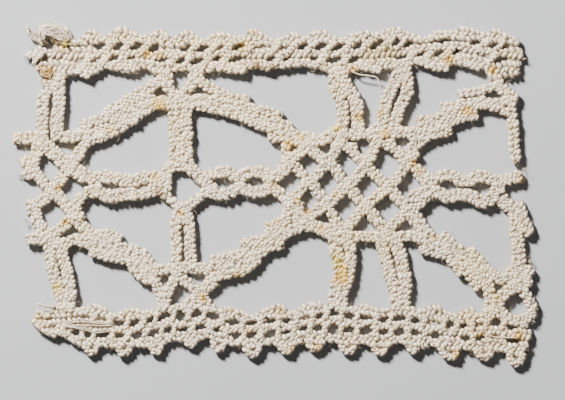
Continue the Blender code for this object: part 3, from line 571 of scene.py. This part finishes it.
def wobble(rng, count, wave):
    """Smooth random wave from its size and the samples from bend to bend."""
    size, spacing = wave
    knots = rng.uniform(-1.0, 1.0, int(count / spacing) + 4)
    place = np.arange(count) / spacing + 1.0
    low = place.astype(int)
    t = ease(place - low)
    return size * (knots[low] * (1 - t) + knots[low + 1] * t)


def travelled(path):
    """Distance along a path at each of its points."""
    return np.concatenate([[0], np.cumsum(np.linalg.norm(np.diff(path, axis=0), axis=1))])


def dense_path(places, spacing=1.0):
    """Points at even distances along a smooth curve through some places."""
    points = [np.array(place, float) for place in places]
    ends = [2 * points[0] - points[1]] + points + [2 * points[-1] - points[-2]]
    path = []
    for before, start, stop, after in zip(ends, ends[1:], ends[2:], ends[3:]):
        for t in np.linspace(0, 1, SPAN_POINTS, endpoint=False):
            path.append(0.5 * (2 * start + (stop - before) * t
                               + (2 * before - 5 * start + 4 * stop - after) * t * t
                               + (3 * start - before - 3 * stop + after) * t ** 3))
    path.append(points[-1])
    path = np.array(path)
    reach = travelled(path)
    count = max(LEAST_POINTS, int(round(reach[-1] / spacing)) + 1)
    even = np.linspace(0, reach[-1], count)
    return np.stack([np.interp(even, reach, path[:, axis]) for axis in range(path.shape[1])], axis=1)


def sideways(path):
    """Unit direction to the side of a flat path at each of its points."""
    along = np.gradient(path, axis=0)
    along /= np.linalg.norm(along, axis=1)[:, None]
    return np.stack([-along[:, 1], along[:, 0]], axis=1)


def braid_places(turn, n):
    """Side place and height, both from -1 to 1, of a strand in a flat braid of n strands."""
    p = turn % 1.0
    swing = np.arcsin(SWING_SHAPE * np.sin(2 * np.pi * (p - 0.25))) / math.asin(SWING_SHAPE)
    crossing = np.where(
        p < (n - 1) / (2 * n), 2 * n * p - 1,
        np.where(p < (n + 1) / (2 * n), n - 2 + n * (p - (n - 1) / (2 * n)),
                 np.where(p < (2 * n - 1) / (2 * n), n - 1 + 2 * n * (p - (n + 1) / (2 * n)),
                          2 * n - 3 + n * (p - (2 * n - 1) / (2 * n)))))
    crossing = np.where(p < 1 / (2 * n), n * p - 0.5, crossing)
    return swing, np.cos(np.pi * crossing)


def add_object(name, data):
    """A new object in the scene."""
    made = bpy.data.objects.new(name, data)
    bpy.context.scene.collection.objects.link(made)
    return made


class Yarns:
    """Collects tubes and makes one mesh of them."""

    def __init__(self, name, seed):
        self.name = name
        self.rng = np.random.default_rng(seed)
        self.points = []
        self.colours_and_shades = []
        self.around = []
        self.quads = []
        self.caps = []
        self.count = 0

    def tube(self, centres, half_width, half_height, sides=YARN_SIDES, tone_and_painted_light=1.0, painted_shade=0.0,
             hue=0.0, rough=0.0):
        """One tube along centres in steps, z included, with its half sizes, its colour and its painted light
        and shade.
        """
        n = len(centres)
        core = np.stack([(centres[:, 0] - PLAN_CENTRE[0]) * STEP,
                         (PLAN_CENTRE[1] - centres[:, 1]) * STEP, centres[:, 2] * STEP], axis=1)
        along = np.gradient(core, axis=0)
        along /= np.maximum(np.linalg.norm(along, axis=1), TINY)[:, None]
        side = np.cross(along, (0.0, 0.0, 1.0))
        side /= np.maximum(np.linalg.norm(side, axis=1), TINY)[:, None]
        up = np.cross(side, along)
        wide = np.broadcast_to(half_width, n) * STEP
        high = np.broadcast_to(half_height, n) * STEP
        ends = np.ones(n)
        for place, share in enumerate(TIP_SHARES):
            ends[place] = share
            ends[-1 - place] = share
        angle = -math.pi / 2 + 2 * math.pi * np.arange(sides) / sides
        ring = (core[:, None, :]
                + side[:, None, :] * (np.cos(angle)[None, :] * (wide * ends)[:, None])[:, :, None]
                + up[:, None, :] * (np.sin(angle)[None, :] * (high * ends)[:, None])[:, :, None])
        if rough:
            ring += (ring - core[:, None, :]) * self.rng.uniform(-rough, rough, (n, sides, 1))
        ring[:, :, 2] = np.maximum(ring[:, :, 2], 0.0)
        self.points.append(ring.reshape(-1, 3))
        # Painted shade: the crease shade, and more on the tube's sides and underside.
        depth = np.repeat(np.broadcast_to(painted_shade, n), sides)
        depth = depth + SIDE_SHADE * np.tile(np.clip(SHADE_START - np.sin(angle), 0, 1), n)
        colour_and_shade = [np.repeat(np.broadcast_to(tone_and_painted_light, n), sides), np.clip(depth, 0, 1),
               np.repeat(np.broadcast_to(hue, n), sides)]
        self.colours_and_shades.append(np.stack(colour_and_shade, axis=1))
        length = travelled(core)
        length += self.rng.uniform(0, FIBRE_SHIFT)
        share_around = np.tile(np.arange(sides) / sides, n)
        self.around.append(np.stack([np.repeat(length, sides), share_around], axis=1))
        i = np.arange(n - 1)[:, None] * sides
        j = np.arange(sides)[None, :]
        k = (j + 1) % sides
        quad = np.stack([i + j, i + sides + j, i + sides + k, i + k], axis=2).reshape(-1, 4)
        self.quads.append(quad + self.count)
        self.caps.append(self.count + np.arange(sides))
        self.caps.append(self.count + (n - 1) * sides + np.arange(sides)[::-1])
        self.count += n * sides

    def braid(self, path, half, side, count, pitch, yarn=1.0, lift=0.0, taper=0.5):
        """A flat braid along a path, half as wide as given at each point."""
        rng = self.rng
        n = len(path)
        reach = travelled(path)
        path = path + side * wobble(rng, n, PATH_WAVE)[:, None]
        half = half * (1 + wobble(rng, n, HALF_WAVE))
        start = rng.uniform(0, 1)
        swing = np.maximum(half - YARN_HALF_WIDTH * yarn, 0.0)
        rounding = np.maximum(half * taper, LEAST_ROUNDING)
        for distance in (reach, reach[-1] - reach):
            bow = 1 - (1 - np.clip(distance / rounding, 0, 1)) ** 2
            swing = swing * np.sqrt(np.clip(bow, END_SWING, 1))
        for strand in range(count):
            turn = reach / pitch + start + strand / count + wobble(rng, n, TURN_WAVE)
            lateral, height = braid_places(turn, count)
            lateral = lateral + wobble(rng, n, SWING_WAVE)
            thick = yarn * rng.uniform(*THICK_RANGE) * (1 + wobble(rng, n, THICK_WAVE))
            thick = thick * (1 + CROWN_SWELL * height)
            level = YARN_LEVEL + lift + CROSSING_RISE * yarn * height + wobble(rng, n, LEVEL_WAVE)
            wide = YARN_HALF_WIDTH * thick
            high = YARN_HALF_HEIGHT * thick
            level = np.maximum(level, high + LOWEST_CENTRE)
            place = path + side * (lateral * swing)[:, None]
            # Tone differs at random, with painted light where the strand lies on top.
            tone_and_painted_light = rng.uniform(*TONE_RANGE) * (1 + wobble(rng, n, TONE_WAVE) + CROWN_PAINTED_LIGHT * height)
            # Painted shade where the strand goes under at a crossing.
            painted_shade = CREASE_SHADE_DEPTH * np.clip(0.5 - height, 0, 1)
            self.tube(np.column_stack([place, level]), wide, high, tone_and_painted_light=tone_and_painted_light, painted_shade=painted_shade,
                      hue=wobble(rng, n, HUE_WAVE), rough=YARN_ROUGH)

    def plait(self, width, places, lift=0.0):
        """A plait from its table row, which reaches a little past both its ends."""
        path = dense_path(places)
        side = sideways(path)
        along = np.stack([side[:, 1], -side[:, 0]], axis=1)
        steps = np.arange(1.0, width * END_SHARE + 0.5)[:, None]
        path = np.concatenate([path[0] - along[0] * steps[::-1], path, path[-1] + along[-1] * steps])
        count = 7 if width >= SEVEN_STRANDS_FROM else 6 if width >= SIX_STRANDS_FROM else 5
        yarn = 1.0 if width >= FULL_YARN_FROM else THIN_YARN
        pitch = BRAID_PITCH * self.rng.uniform(*PITCH_RANGE)
        self.braid(path, np.full(len(path), width / 2), sideways(path), count, pitch, yarn, lift)

    def finish(self, material):
        """Make the mesh object of all tubes."""
        points = np.concatenate(self.points)
        quads = np.concatenate(self.quads)
        sizes = np.concatenate([np.full(len(quads), 4), [len(cap) for cap in self.caps]])
        corners = np.concatenate([quads.ravel()] + self.caps)
        mesh = bpy.data.meshes.new(self.name)
        mesh.vertices.add(len(points))
        mesh.vertices.foreach_set("co", points.ravel())
        mesh.loops.add(len(corners))
        mesh.loops.foreach_set("vertex_index", corners)
        mesh.polygons.add(len(sizes))
        mesh.polygons.foreach_set("loop_start", np.concatenate([[0], np.cumsum(sizes)[:-1]]))
        mesh.update(calc_edges=True)
        mesh.shade_smooth()
        place = np.concatenate(self.around)[corners]
        # Quads that close the ring carry a full turn instead of none.
        wrap = place[: len(quads) * 4].reshape(-1, 4, 2)
        turned = (wrap[:, :, 1].max(axis=1) - wrap[:, :, 1].min(axis=1)) > 0.5
        wrap[turned, :, 1] += wrap[turned, :, 1] < 0.5
        layer = mesh.uv_layers.new(name="yarn")
        layer.data.foreach_set("uv", place.ravel())
        # The colour holds painted light and shade besides the yarns' own colour and stains.
        colours = yarn_colours_and_shade(points, *np.concatenate(self.colours_and_shades).T)
        attribute = mesh.color_attributes.new("colour_and_shade", "FLOAT_COLOR", "POINT")
        attribute.data.foreach_set("color", colours.ravel())
        mesh.materials.append(material)
        return add_object(self.name, mesh)


def blotches(points, areas):
    """Smooth value noise over the plan, from -1 to 1."""
    scale, seed = areas
    grid = np.random.default_rng(seed).uniform(-1, 1, (NOISE_GRID, NOISE_GRID))
    place = points[:, :2] / scale + NOISE_START
    low = np.floor(place).astype(int)
    t = ease(place - low)
    a = grid[low[:, 0] % NOISE_GRID, low[:, 1] % NOISE_GRID]
    b = grid[(low[:, 0] + 1) % NOISE_GRID, low[:, 1] % NOISE_GRID]
    c = grid[low[:, 0] % NOISE_GRID, (low[:, 1] + 1) % NOISE_GRID]
    d = grid[(low[:, 0] + 1) % NOISE_GRID, (low[:, 1] + 1) % NOISE_GRID]
    near = a * (1 - t[:, 0]) + b * t[:, 0]
    far = c * (1 - t[:, 0]) + d * t[:, 0]
    return near * (1 - t[:, 1]) + far * t[:, 1]


def yarn_colours_and_shade(points, tone_and_painted_light, painted_shade, hue):
    """Cream with painted shade in the creases and on the yarns' sides, painted light where they lie on top,
    faint warm and cool areas, and the stains.
    """
    cream_and_light = np.array(CREAM)[None, :] * tone_and_painted_light[:, None]
    dark = np.array(SHADE_COLOUR)[None, :]
    # Painted shade: the cream is mixed toward the shade colour.
    colour = cream_and_light * (1 - painted_shade[:, None]) + dark * painted_shade[:, None]
    colour = colour * (1 + blotches(points, WARM_AREAS)[:, None] * np.array([WARM_CHANGE]))
    colour = colour * (1 + hue[:, None] * np.array([HUE_CHANGE]))
    colour = colour * (1 + LIGHT_CHANGE * blotches(points, LIGHT_AREAS)[:, None])
    plan_x = points[:, 0] / STEP + PLAN_CENTRE[0]
    plan_y = PLAN_CENTRE[1] - points[:, 1] / STEP
    ragged = 1 + STAIN_RAGGED * blotches(points, STAIN_AREAS)
    for x, y, radius, strength, name in STAINS:
        distance = np.hypot(plan_x - x, plan_y - y) * ragged / radius
        near = distance < STAIN_REACH
        amount = STAIN_STRENGTH * strength * np.clip(STAIN_REACH - distance[near], 0, 1)
        amount = np.clip(amount, 0, STAIN_LIMIT)[:, None]
        colour[near] = colour[near] * (1 - amount) + np.array([STAIN_COLOURS[name]]) * amount
    return np.column_stack([np.clip(colour, 0, 1), np.ones(len(points))])


def set_inputs(node, values):
    """Set some of a node's sockets."""
    for name, value in values.items():
        node.inputs[name].default_value = value


def new_material(name, values):
    """A material with its node tree and its shader, which has some sockets set."""
    material = bpy.data.materials.new(name)
    material.use_nodes = True
    shader = material.node_tree.nodes["Principled BSDF"]
    set_inputs(shader, values)
    return material, material.node_tree, shader


def new_node(tree, kind, values):
    """A new node with some sockets set."""
    node = tree.nodes.new(kind)
    set_inputs(node, values)
    return node


def linen_material():
    """Linen yarn: coloured by the mesh, whose colour holds painted light and shade, with fine fibres along
    it in tone and relief.
    """
    material, tree, shader = new_material("linen_yarn", {
        "Roughness": 0.34, "Specular IOR Level": 1.0, "Sheen Weight": 0.15, "Sheen Roughness": 0.5})
    colour_and_shade = tree.nodes.new("ShaderNodeVertexColor")
    colour_and_shade.layer_name = "colour_and_shade"
    place = tree.nodes.new("ShaderNodeUVMap")
    place.uv_map = "yarn"
    mapping = new_node(tree, "ShaderNodeMapping", {"Scale": FIBRE_STRETCH})
    fibres = new_node(tree, "ShaderNodeTexNoise", {"Scale": 1.6, "Detail": 3.0, "Roughness": 0.6})
    spread = new_node(tree, "ShaderNodeMapRange", {"To Min": 0.86, "To Max": 1.12})
    mix = new_node(tree, "ShaderNodeMix", {"Factor": 1.0})
    mix.data_type = "RGBA"
    mix.blend_type = "MULTIPLY"
    bump = new_node(tree, "ShaderNodeBump", {"Strength": 0.8, "Distance": 0.00008})
    links = (
        (place, "UV", mapping, "Vector"), (mapping, "Vector", fibres, "Vector"),
        (fibres, "Fac", spread, "Value"), (colour_and_shade, "Color", mix, "A"), (spread, "Result", mix, "B"),
        (mix, "Result", shader, "Base Color"),
        (fibres, "Fac", bump, "Height"), (bump, "Normal", shader, "Normal"),
    )
    for source, output, target, socket in links:
        tree.links.new(source.outputs[output], target.inputs[socket])
    return material


def core_shade_material():
    """Linen in a painted shade colour, between and below the yarns."""
    return new_material("linen_core_shade", {"Base Color": CORE_SHADE_COLOUR, "Roughness": 0.95})[0]


def gap_push(x, gaps, side, lean):
    """How far each gap pushes the row edge beside it, along a seam."""
    push = np.zeros(len(x))
    for place, _, width, height in gaps:
        t = (x - place - side * lean * width) / (width / 2 + GAP_SLOPE)
        bump = np.where(np.abs(t) < 1, np.cos(t * np.pi / 2) ** GAP_POWER, 0.0)
        push = np.maximum(push, bump * (height / 2 + GAP_ROOM))
    return push


def smooth_table(x, places, values):
    """Cubic curve through table values."""
    points = dense_path(list(zip(places, values)), 0.5)
    order = np.argsort(points[:, 0])
    return np.interp(x, points[order, 0], points[order, 1])


def heading_edges(sections, seam_gaps):
    """Outer edges and seams of a heading at each step along it."""
    table = np.array(sections, float)
    x = np.arange(table[0, 0], table[-1, 0] + 0.5)
    upper, lower = (smooth_table(x, table[:, 0], table[:, column]) for column in (1, 2))
    depth = lower - upper
    seams = []
    for gaps, share in zip(seam_gaps, SEAM_SHARES):
        places = np.array(gaps, float)
        seam = np.interp(x, places[:, 0], places[:, 1])
        highest = upper + depth * (share - SEAM_ROOM)
        lowest = upper + depth * (share + SEAM_ROOM)
        seams.append(np.clip(seam, highest, lowest))
    return x, upper, lower, seams


def braid_heading(yarns, sections, seam_gaps, pitches, lean):
    """Three rows that touch along the seams and part at the gaps."""
    x, upper, lower, seams = heading_edges(sections, seam_gaps)
    above = [seam + ROW_OVERLAP - gap_push(x, gaps, 1, lean) for seam, gaps in zip(seams, seam_gaps)]
    below = [seam - ROW_OVERLAP + gap_push(x, gaps, -1, lean) for seam, gaps in zip(seams, seam_gaps)]
    tops = [upper] + below
    bottoms = above + [lower]
    for top, bottom, pitch, (strands, lift, cut) in zip(tops, bottoms, pitches, HEADING_ROWS):
        half = np.maximum((bottom - top) / 2, YARN_HALF_WIDTH)
        path = np.column_stack([x, (top + bottom) / 2])
        side = np.tile((0.0, 1.0), (len(x), 1))
        keep = slice(cut, len(x) - cut)
        yarns.braid(path[keep], half[keep], side[keep], strands, pitch, lift=lift)


def braid_links(yarns, gaps, height, lean, width):
    """Short fat bundles between neighbouring gaps."""
    out = lean * height / 2
    rise = height / 2
    for (xa, ya, wa, _), (xb, yb, wb, _) in zip(gaps, gaps[1:]):
        if xb - xa > LINK_REACH:
            continue
        left = xa + wa / 2
        right = xb - wb / 2
        x = (left + right) / 2
        y = (ya + yb) / 2
        half = min(max((right - left) / 2, LINK_LEAST_HALF), width / 2)
        path = dense_path(((x - out, y + rise), (x, y), (x + out, y - rise)))
        yarns.braid(path, np.full(len(path), half), sideways(path), *LINK_BRAID)


def braid_picots(yarns):
    """Small loops along the lower heading."""
    for x, y, half in PICOTS:
        reach = half - PICOT_INSET
        left = [(x - reach * share - out, y - back) for share, out, back in PICOT_PLACES[:0:-1]]
        right = [(x + reach * share + out, y - back) for share, out, back in PICOT_PLACES]
        path = dense_path(left + right)
        yarns.braid(path, np.full(len(path), PICOT_HALF), sideways(path), *PICOT_BRAID)


def fine_thread(yarns, half, places):
    """A loose thread that lies over the plaits."""
    path = dense_path(places)
    n = len(path)
    path = path + sideways(path) * wobble(yarns.rng, n, THREAD_WAVE)[:, None]
    height = THREAD_LEVEL + wobble(yarns.rng, n, THREAD_LEVEL_WAVE)
    yarns.tube(np.column_stack([path, height]), half, half, sides=THREAD_SIDES)


def coil_yarn(yarns, x, y, radius, turns):
    """A flat spiral of one yarn that lies on the plaits."""
    angle = np.linspace(0, 2 * math.pi * turns, COIL_POINTS)
    reach = radius * (1 - COIL_SHRINK * angle / angle[-1])
    level = COIL_LEVEL + COIL_RISE * angle / angle[-1]
    centres = np.column_stack([x + reach * np.cos(angle), y + reach * np.sin(angle), level])
    yarns.tube(centres, *COIL_HALF_SIZES, sides=6, tone_and_painted_light=0.95)


def combed_tuft(yarns, width, places):
    """Loose fibres along a path; they lie side by side and some cross."""
    rng = yarns.rng
    path = dense_path(places)
    side = sideways(path)
    n = len(path)
    size, spacing = TUFT_WANDER
    for _ in range(int(width * TUFT_FIBRES)):
        length = max(TUFT_SHORTEST, int(n * rng.uniform(*TUFT_SHARE)))
        start = rng.integers(0, n - length + 1)
        drift = np.linspace(-0.5, 0.5, n) * rng.uniform(*TUFT_DRIFT)
        offset = width * (rng.uniform(-0.5, 0.5) + drift) + wobble(rng, n, (size * width, spacing))
        offset = np.clip(offset, -TUFT_EDGE * width, TUFT_EDGE * width)
        crown = TUFT_CROWN - TUFT_FALL * (2 * offset / width) ** 2
        crown = crown + rng.uniform(*TUFT_CROWN_RANGE) + wobble(rng, n, TUFT_CROWN_WAVE)
        centres = np.column_stack([path + side * offset[:, None], np.maximum(crown, TUFT_LOWEST)])
        half = rng.uniform(*TUFT_HALF) * (1 + wobble(rng, length, TUFT_HALF_WAVE))
        yarns.tube(centres[start:start + length], half, half, sides=5, tone_and_painted_light=rng.uniform(*TUFT_TONE),
                   painted_shade=rng.uniform(*TUFT_SHADE), hue=rng.uniform(-1, 1))


def curled_fibre(rng, start, heading, up, length, n, curve):
    """Centres of a curled fibre; up is -1 where angles turn against the plan's y."""
    bend, curl, start_level, climb, limits = curve
    turn = heading + np.cumsum(rng.normal(0, bend, n)) + rng.uniform(*curl) * np.arange(n)
    path = start + np.cumsum(np.column_stack([np.cos(turn), up * np.sin(turn)]) * length / n, axis=0)
    level = rng.uniform(*start_level) + np.cumsum(rng.normal(0, climb, n))
    return np.column_stack([path, np.clip(level, *limits)])


def fray(yarns, x, y, spread, degrees, count):
    """A tuft of curled fibres at a cut end."""
    rng = yarns.rng
    for _ in range(count):
        heading = math.radians(degrees + rng.uniform(*FRAY_FAN))
        start = np.array([x, y]) + rng.normal(0, spread * FRAY_SCATTER, 2)
        length = spread * rng.uniform(*FRAY_LENGTH)
        n = max(FRAY_FEWEST, int(length))
        centres = curled_fibre(rng, start, heading, -1, length, n, FRAY_CURVE)
        half = rng.uniform(*FRAY_HALF) * np.linspace(1, FRAY_TIP, n)
        yarns.tube(centres, half, half, sides=4, tone_and_painted_light=rng.uniform(*FRAY_TONE))


def hair_rows():
    """Paths that hairs may stand out from, with the width of each."""
    rows = [(width, dense_path(places)) for _, table in FIELD for _, width, places in table]
    for sections in (UPPER_HEADING, LOWER_HEADING):
        table = np.array(sections, float)
        for column in (1, 2):
            rows.append((1.0, dense_path(table[:, (0, column)])))
    return rows


def add_hairs(yarns):
    """Fine fibre ends that stand out from the plaits."""
    rng = yarns.rng
    rows = hair_rows()
    lengths = np.array([len(path) for _, path in rows], float)
    for _ in range(HAIR_COUNT):
        width, path = rows[rng.choice(len(rows), p=lengths / lengths.sum())]
        i = rng.integers(1, len(path) - 1)
        way = path[i + 1] - path[i - 1]
        way = way / max(np.linalg.norm(way), TINY)
        out = np.array([-way[1], way[0]]) * rng.choice((-1, 1))
        start = path[i] + out * (width / 2 - HAIR_INSET)
        heading = math.atan2(out[1], out[0]) + rng.uniform(*HAIR_FAN)
        length = rng.uniform(*HAIR_LENGTH)
        centres = curled_fibre(rng, start, heading, 1, length, HAIR_POINTS, HAIR_CURVE)
        half = rng.uniform(*HAIR_HALF)
        yarns.tube(centres, half, half, sides=3, tone_and_painted_light=HAIR_TONE)


def wall_directions(cloth):
    """Sum of the wall normals at each vertex that a wall touches."""
    directions = {}
    for edge in cloth.edges:
        walls = [face.normal for face in edge.link_faces if abs(face.normal.z) < WALL_SLOPE]
        for vert in edge.verts:
            for normal in walls:
                directions.setdefault(vert.index, []).append(normal)
    return {index: sum(normals, Vector()) for index, normals in directions.items()}


def build_core(material):
    """Thin sheet with the strip's outline, below the yarns' crowns."""
    cloth = bmesh.new()
    cloth.from_mesh(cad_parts["lace"].data)
    bmesh.ops.remove_doubles(cloth, verts=cloth.verts, dist=MERGE_DISTANCE)
    cloth.normal_update()
    cloth.verts.ensure_lookup_table()
    for index, out in wall_directions(cloth).items():
        out.z = 0
        if out.length > LEAST_DIRECTION:
            cloth.verts[index].co -= out.normalized() * CORE_INSET
    for vert in cloth.verts:
        raised = CORE_TOP + CORE_RISE * (vert.co.z / CAD_HEIGHT)
        vert.co.z = raised if vert.co.z > CORE_LOW else CORE_LOW
    mesh = bpy.data.meshes.new("core")
    cloth.to_mesh(mesh)
    cloth.free()
    mesh.materials.clear()
    mesh.materials.append(material)
    return add_object("core", mesh)


def build_field(linen):
    """The field's plaits, one piece for each region."""
    pieces = []
    for number, (name, table) in enumerate(FIELD):
        yarns = Yarns(name, FIELD_SEED + number)
        for plait, width, places in table:
            over = plait.startswith("rise") or plait.endswith("_b")
            yarns.plait(width, places, OVER_LIFT if over else 0.0)
        pieces.append(yarns.finish(linen))
    return pieces


def build_heading(name, seed, sections, seam_gaps, pitches, lean, links):
    """Yarns of a heading: its rows, and the links between their gaps."""
    yarns = Yarns(name, seed)
    braid_heading(yarns, sections, seam_gaps, pitches, lean)
    for gaps, link in zip(seam_gaps, links):
        braid_links(yarns, gaps, *link)
    return yarns


def build_headings(linen):
    """The plain heading with its lobes, and the heading with picots."""
    upper = build_heading("yarns_upper_heading", UPPER_SEED, UPPER_HEADING, UPPER_GAPS,
                          UPPER_PITCHES, UPPER_LEAN, UPPER_LINKS)
    for width, places in HEADING_LOBES:
        upper.plait(width, places, LOBE_LIFT)
    lower = build_heading("yarns_lower_heading", LOWER_SEED, LOWER_HEADING, LOWER_GAPS,
                          LOWER_PITCHES, LOWER_LEAN, LOWER_LINKS)
    braid_picots(lower)
    return [upper.finish(linen), lower.finish(linen)]


def build_loose(linen):
    """Loose threads, the coil, the combed tuft, frays and hairs."""
    yarns = Yarns("yarns_loose", LOOSE_SEED)
    for thread in LOOSE_THREADS:
        fine_thread(yarns, *thread)
    coil_yarn(yarns, *COIL)
    for tuft in TUFTS:
        combed_tuft(yarns, *tuft)
    for tuft in FRAYS:
        fray(yarns, *tuft)
    add_hairs(yarns)
    return yarns.finish(linen)


def build_floor():
    """A plain pale floor."""
    corners = ((-1, -1), (1, -1), (1, 1), (-1, 1))
    mesh = bpy.data.meshes.new("floor")
    mesh.from_pydata([(x * FLOOR_REACH, y * FLOOR_REACH, FLOOR_LEVEL) for x, y in corners],
                     [], [(0, 1, 2, 3)])
    mesh.materials.append(new_material("floor", {
        "Base Color": FLOOR_COLOUR, "Roughness": 0.9, "Specular IOR Level": 0.1})[0])
    add_object("floor", mesh)


def add_light(name, size, power, place):
    """A soft square light that faces the middle of the lace."""
    data = bpy.data.lights.new(name, "AREA")
    data.shape = "SQUARE"
    data.size = size
    data.energy = power
    light = add_object(name, data)
    light.location = place
    light.rotation_euler = (-Vector(place)).to_track_quat("-Z", "Y").to_euler()


def light_world():
    """Weak white light from all sides."""
    world = bpy.data.worlds.new("studio")
    world.use_nodes = True
    set_inputs(world.node_tree.nodes["Background"], {
        "Color": (1.0, 1.0, 1.0, 1.0), "Strength": WORLD_STRENGTH})
    bpy.context.scene.world = world


def add_camera():
    """A camera straight above, whose view is the photo's frame."""
    data = bpy.data.cameras.new("camera")
    data.sensor_width = SENSOR_WIDTH
    data.lens = SENSOR_WIDTH * CAMERA_HEIGHT / (VIEW_WIDTH * STEP)
    data.clip_start = 0.01
    camera = add_object("camera", data)
    camera.location = ((VIEW_CENTRE[0] - PLAN_CENTRE[0]) * STEP,
                       (PLAN_CENTRE[1] - VIEW_CENTRE[1]) * STEP, CAMERA_HEIGHT)
    bpy.context.scene.camera = camera


def main():
    """Dress the lace, attach its pieces to the root body and set the stage."""
    linen = linen_material()
    core = build_core(core_shade_material())
    pieces = build_field(linen) + build_headings(linen) + [build_loose(linen)]
    build_floor()
    for light in LIGHTS:
        add_light(*light)
    light_world()
    add_camera()
    for piece in [core] + pieces:
        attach(piece, "root")
        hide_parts("lace")


main()
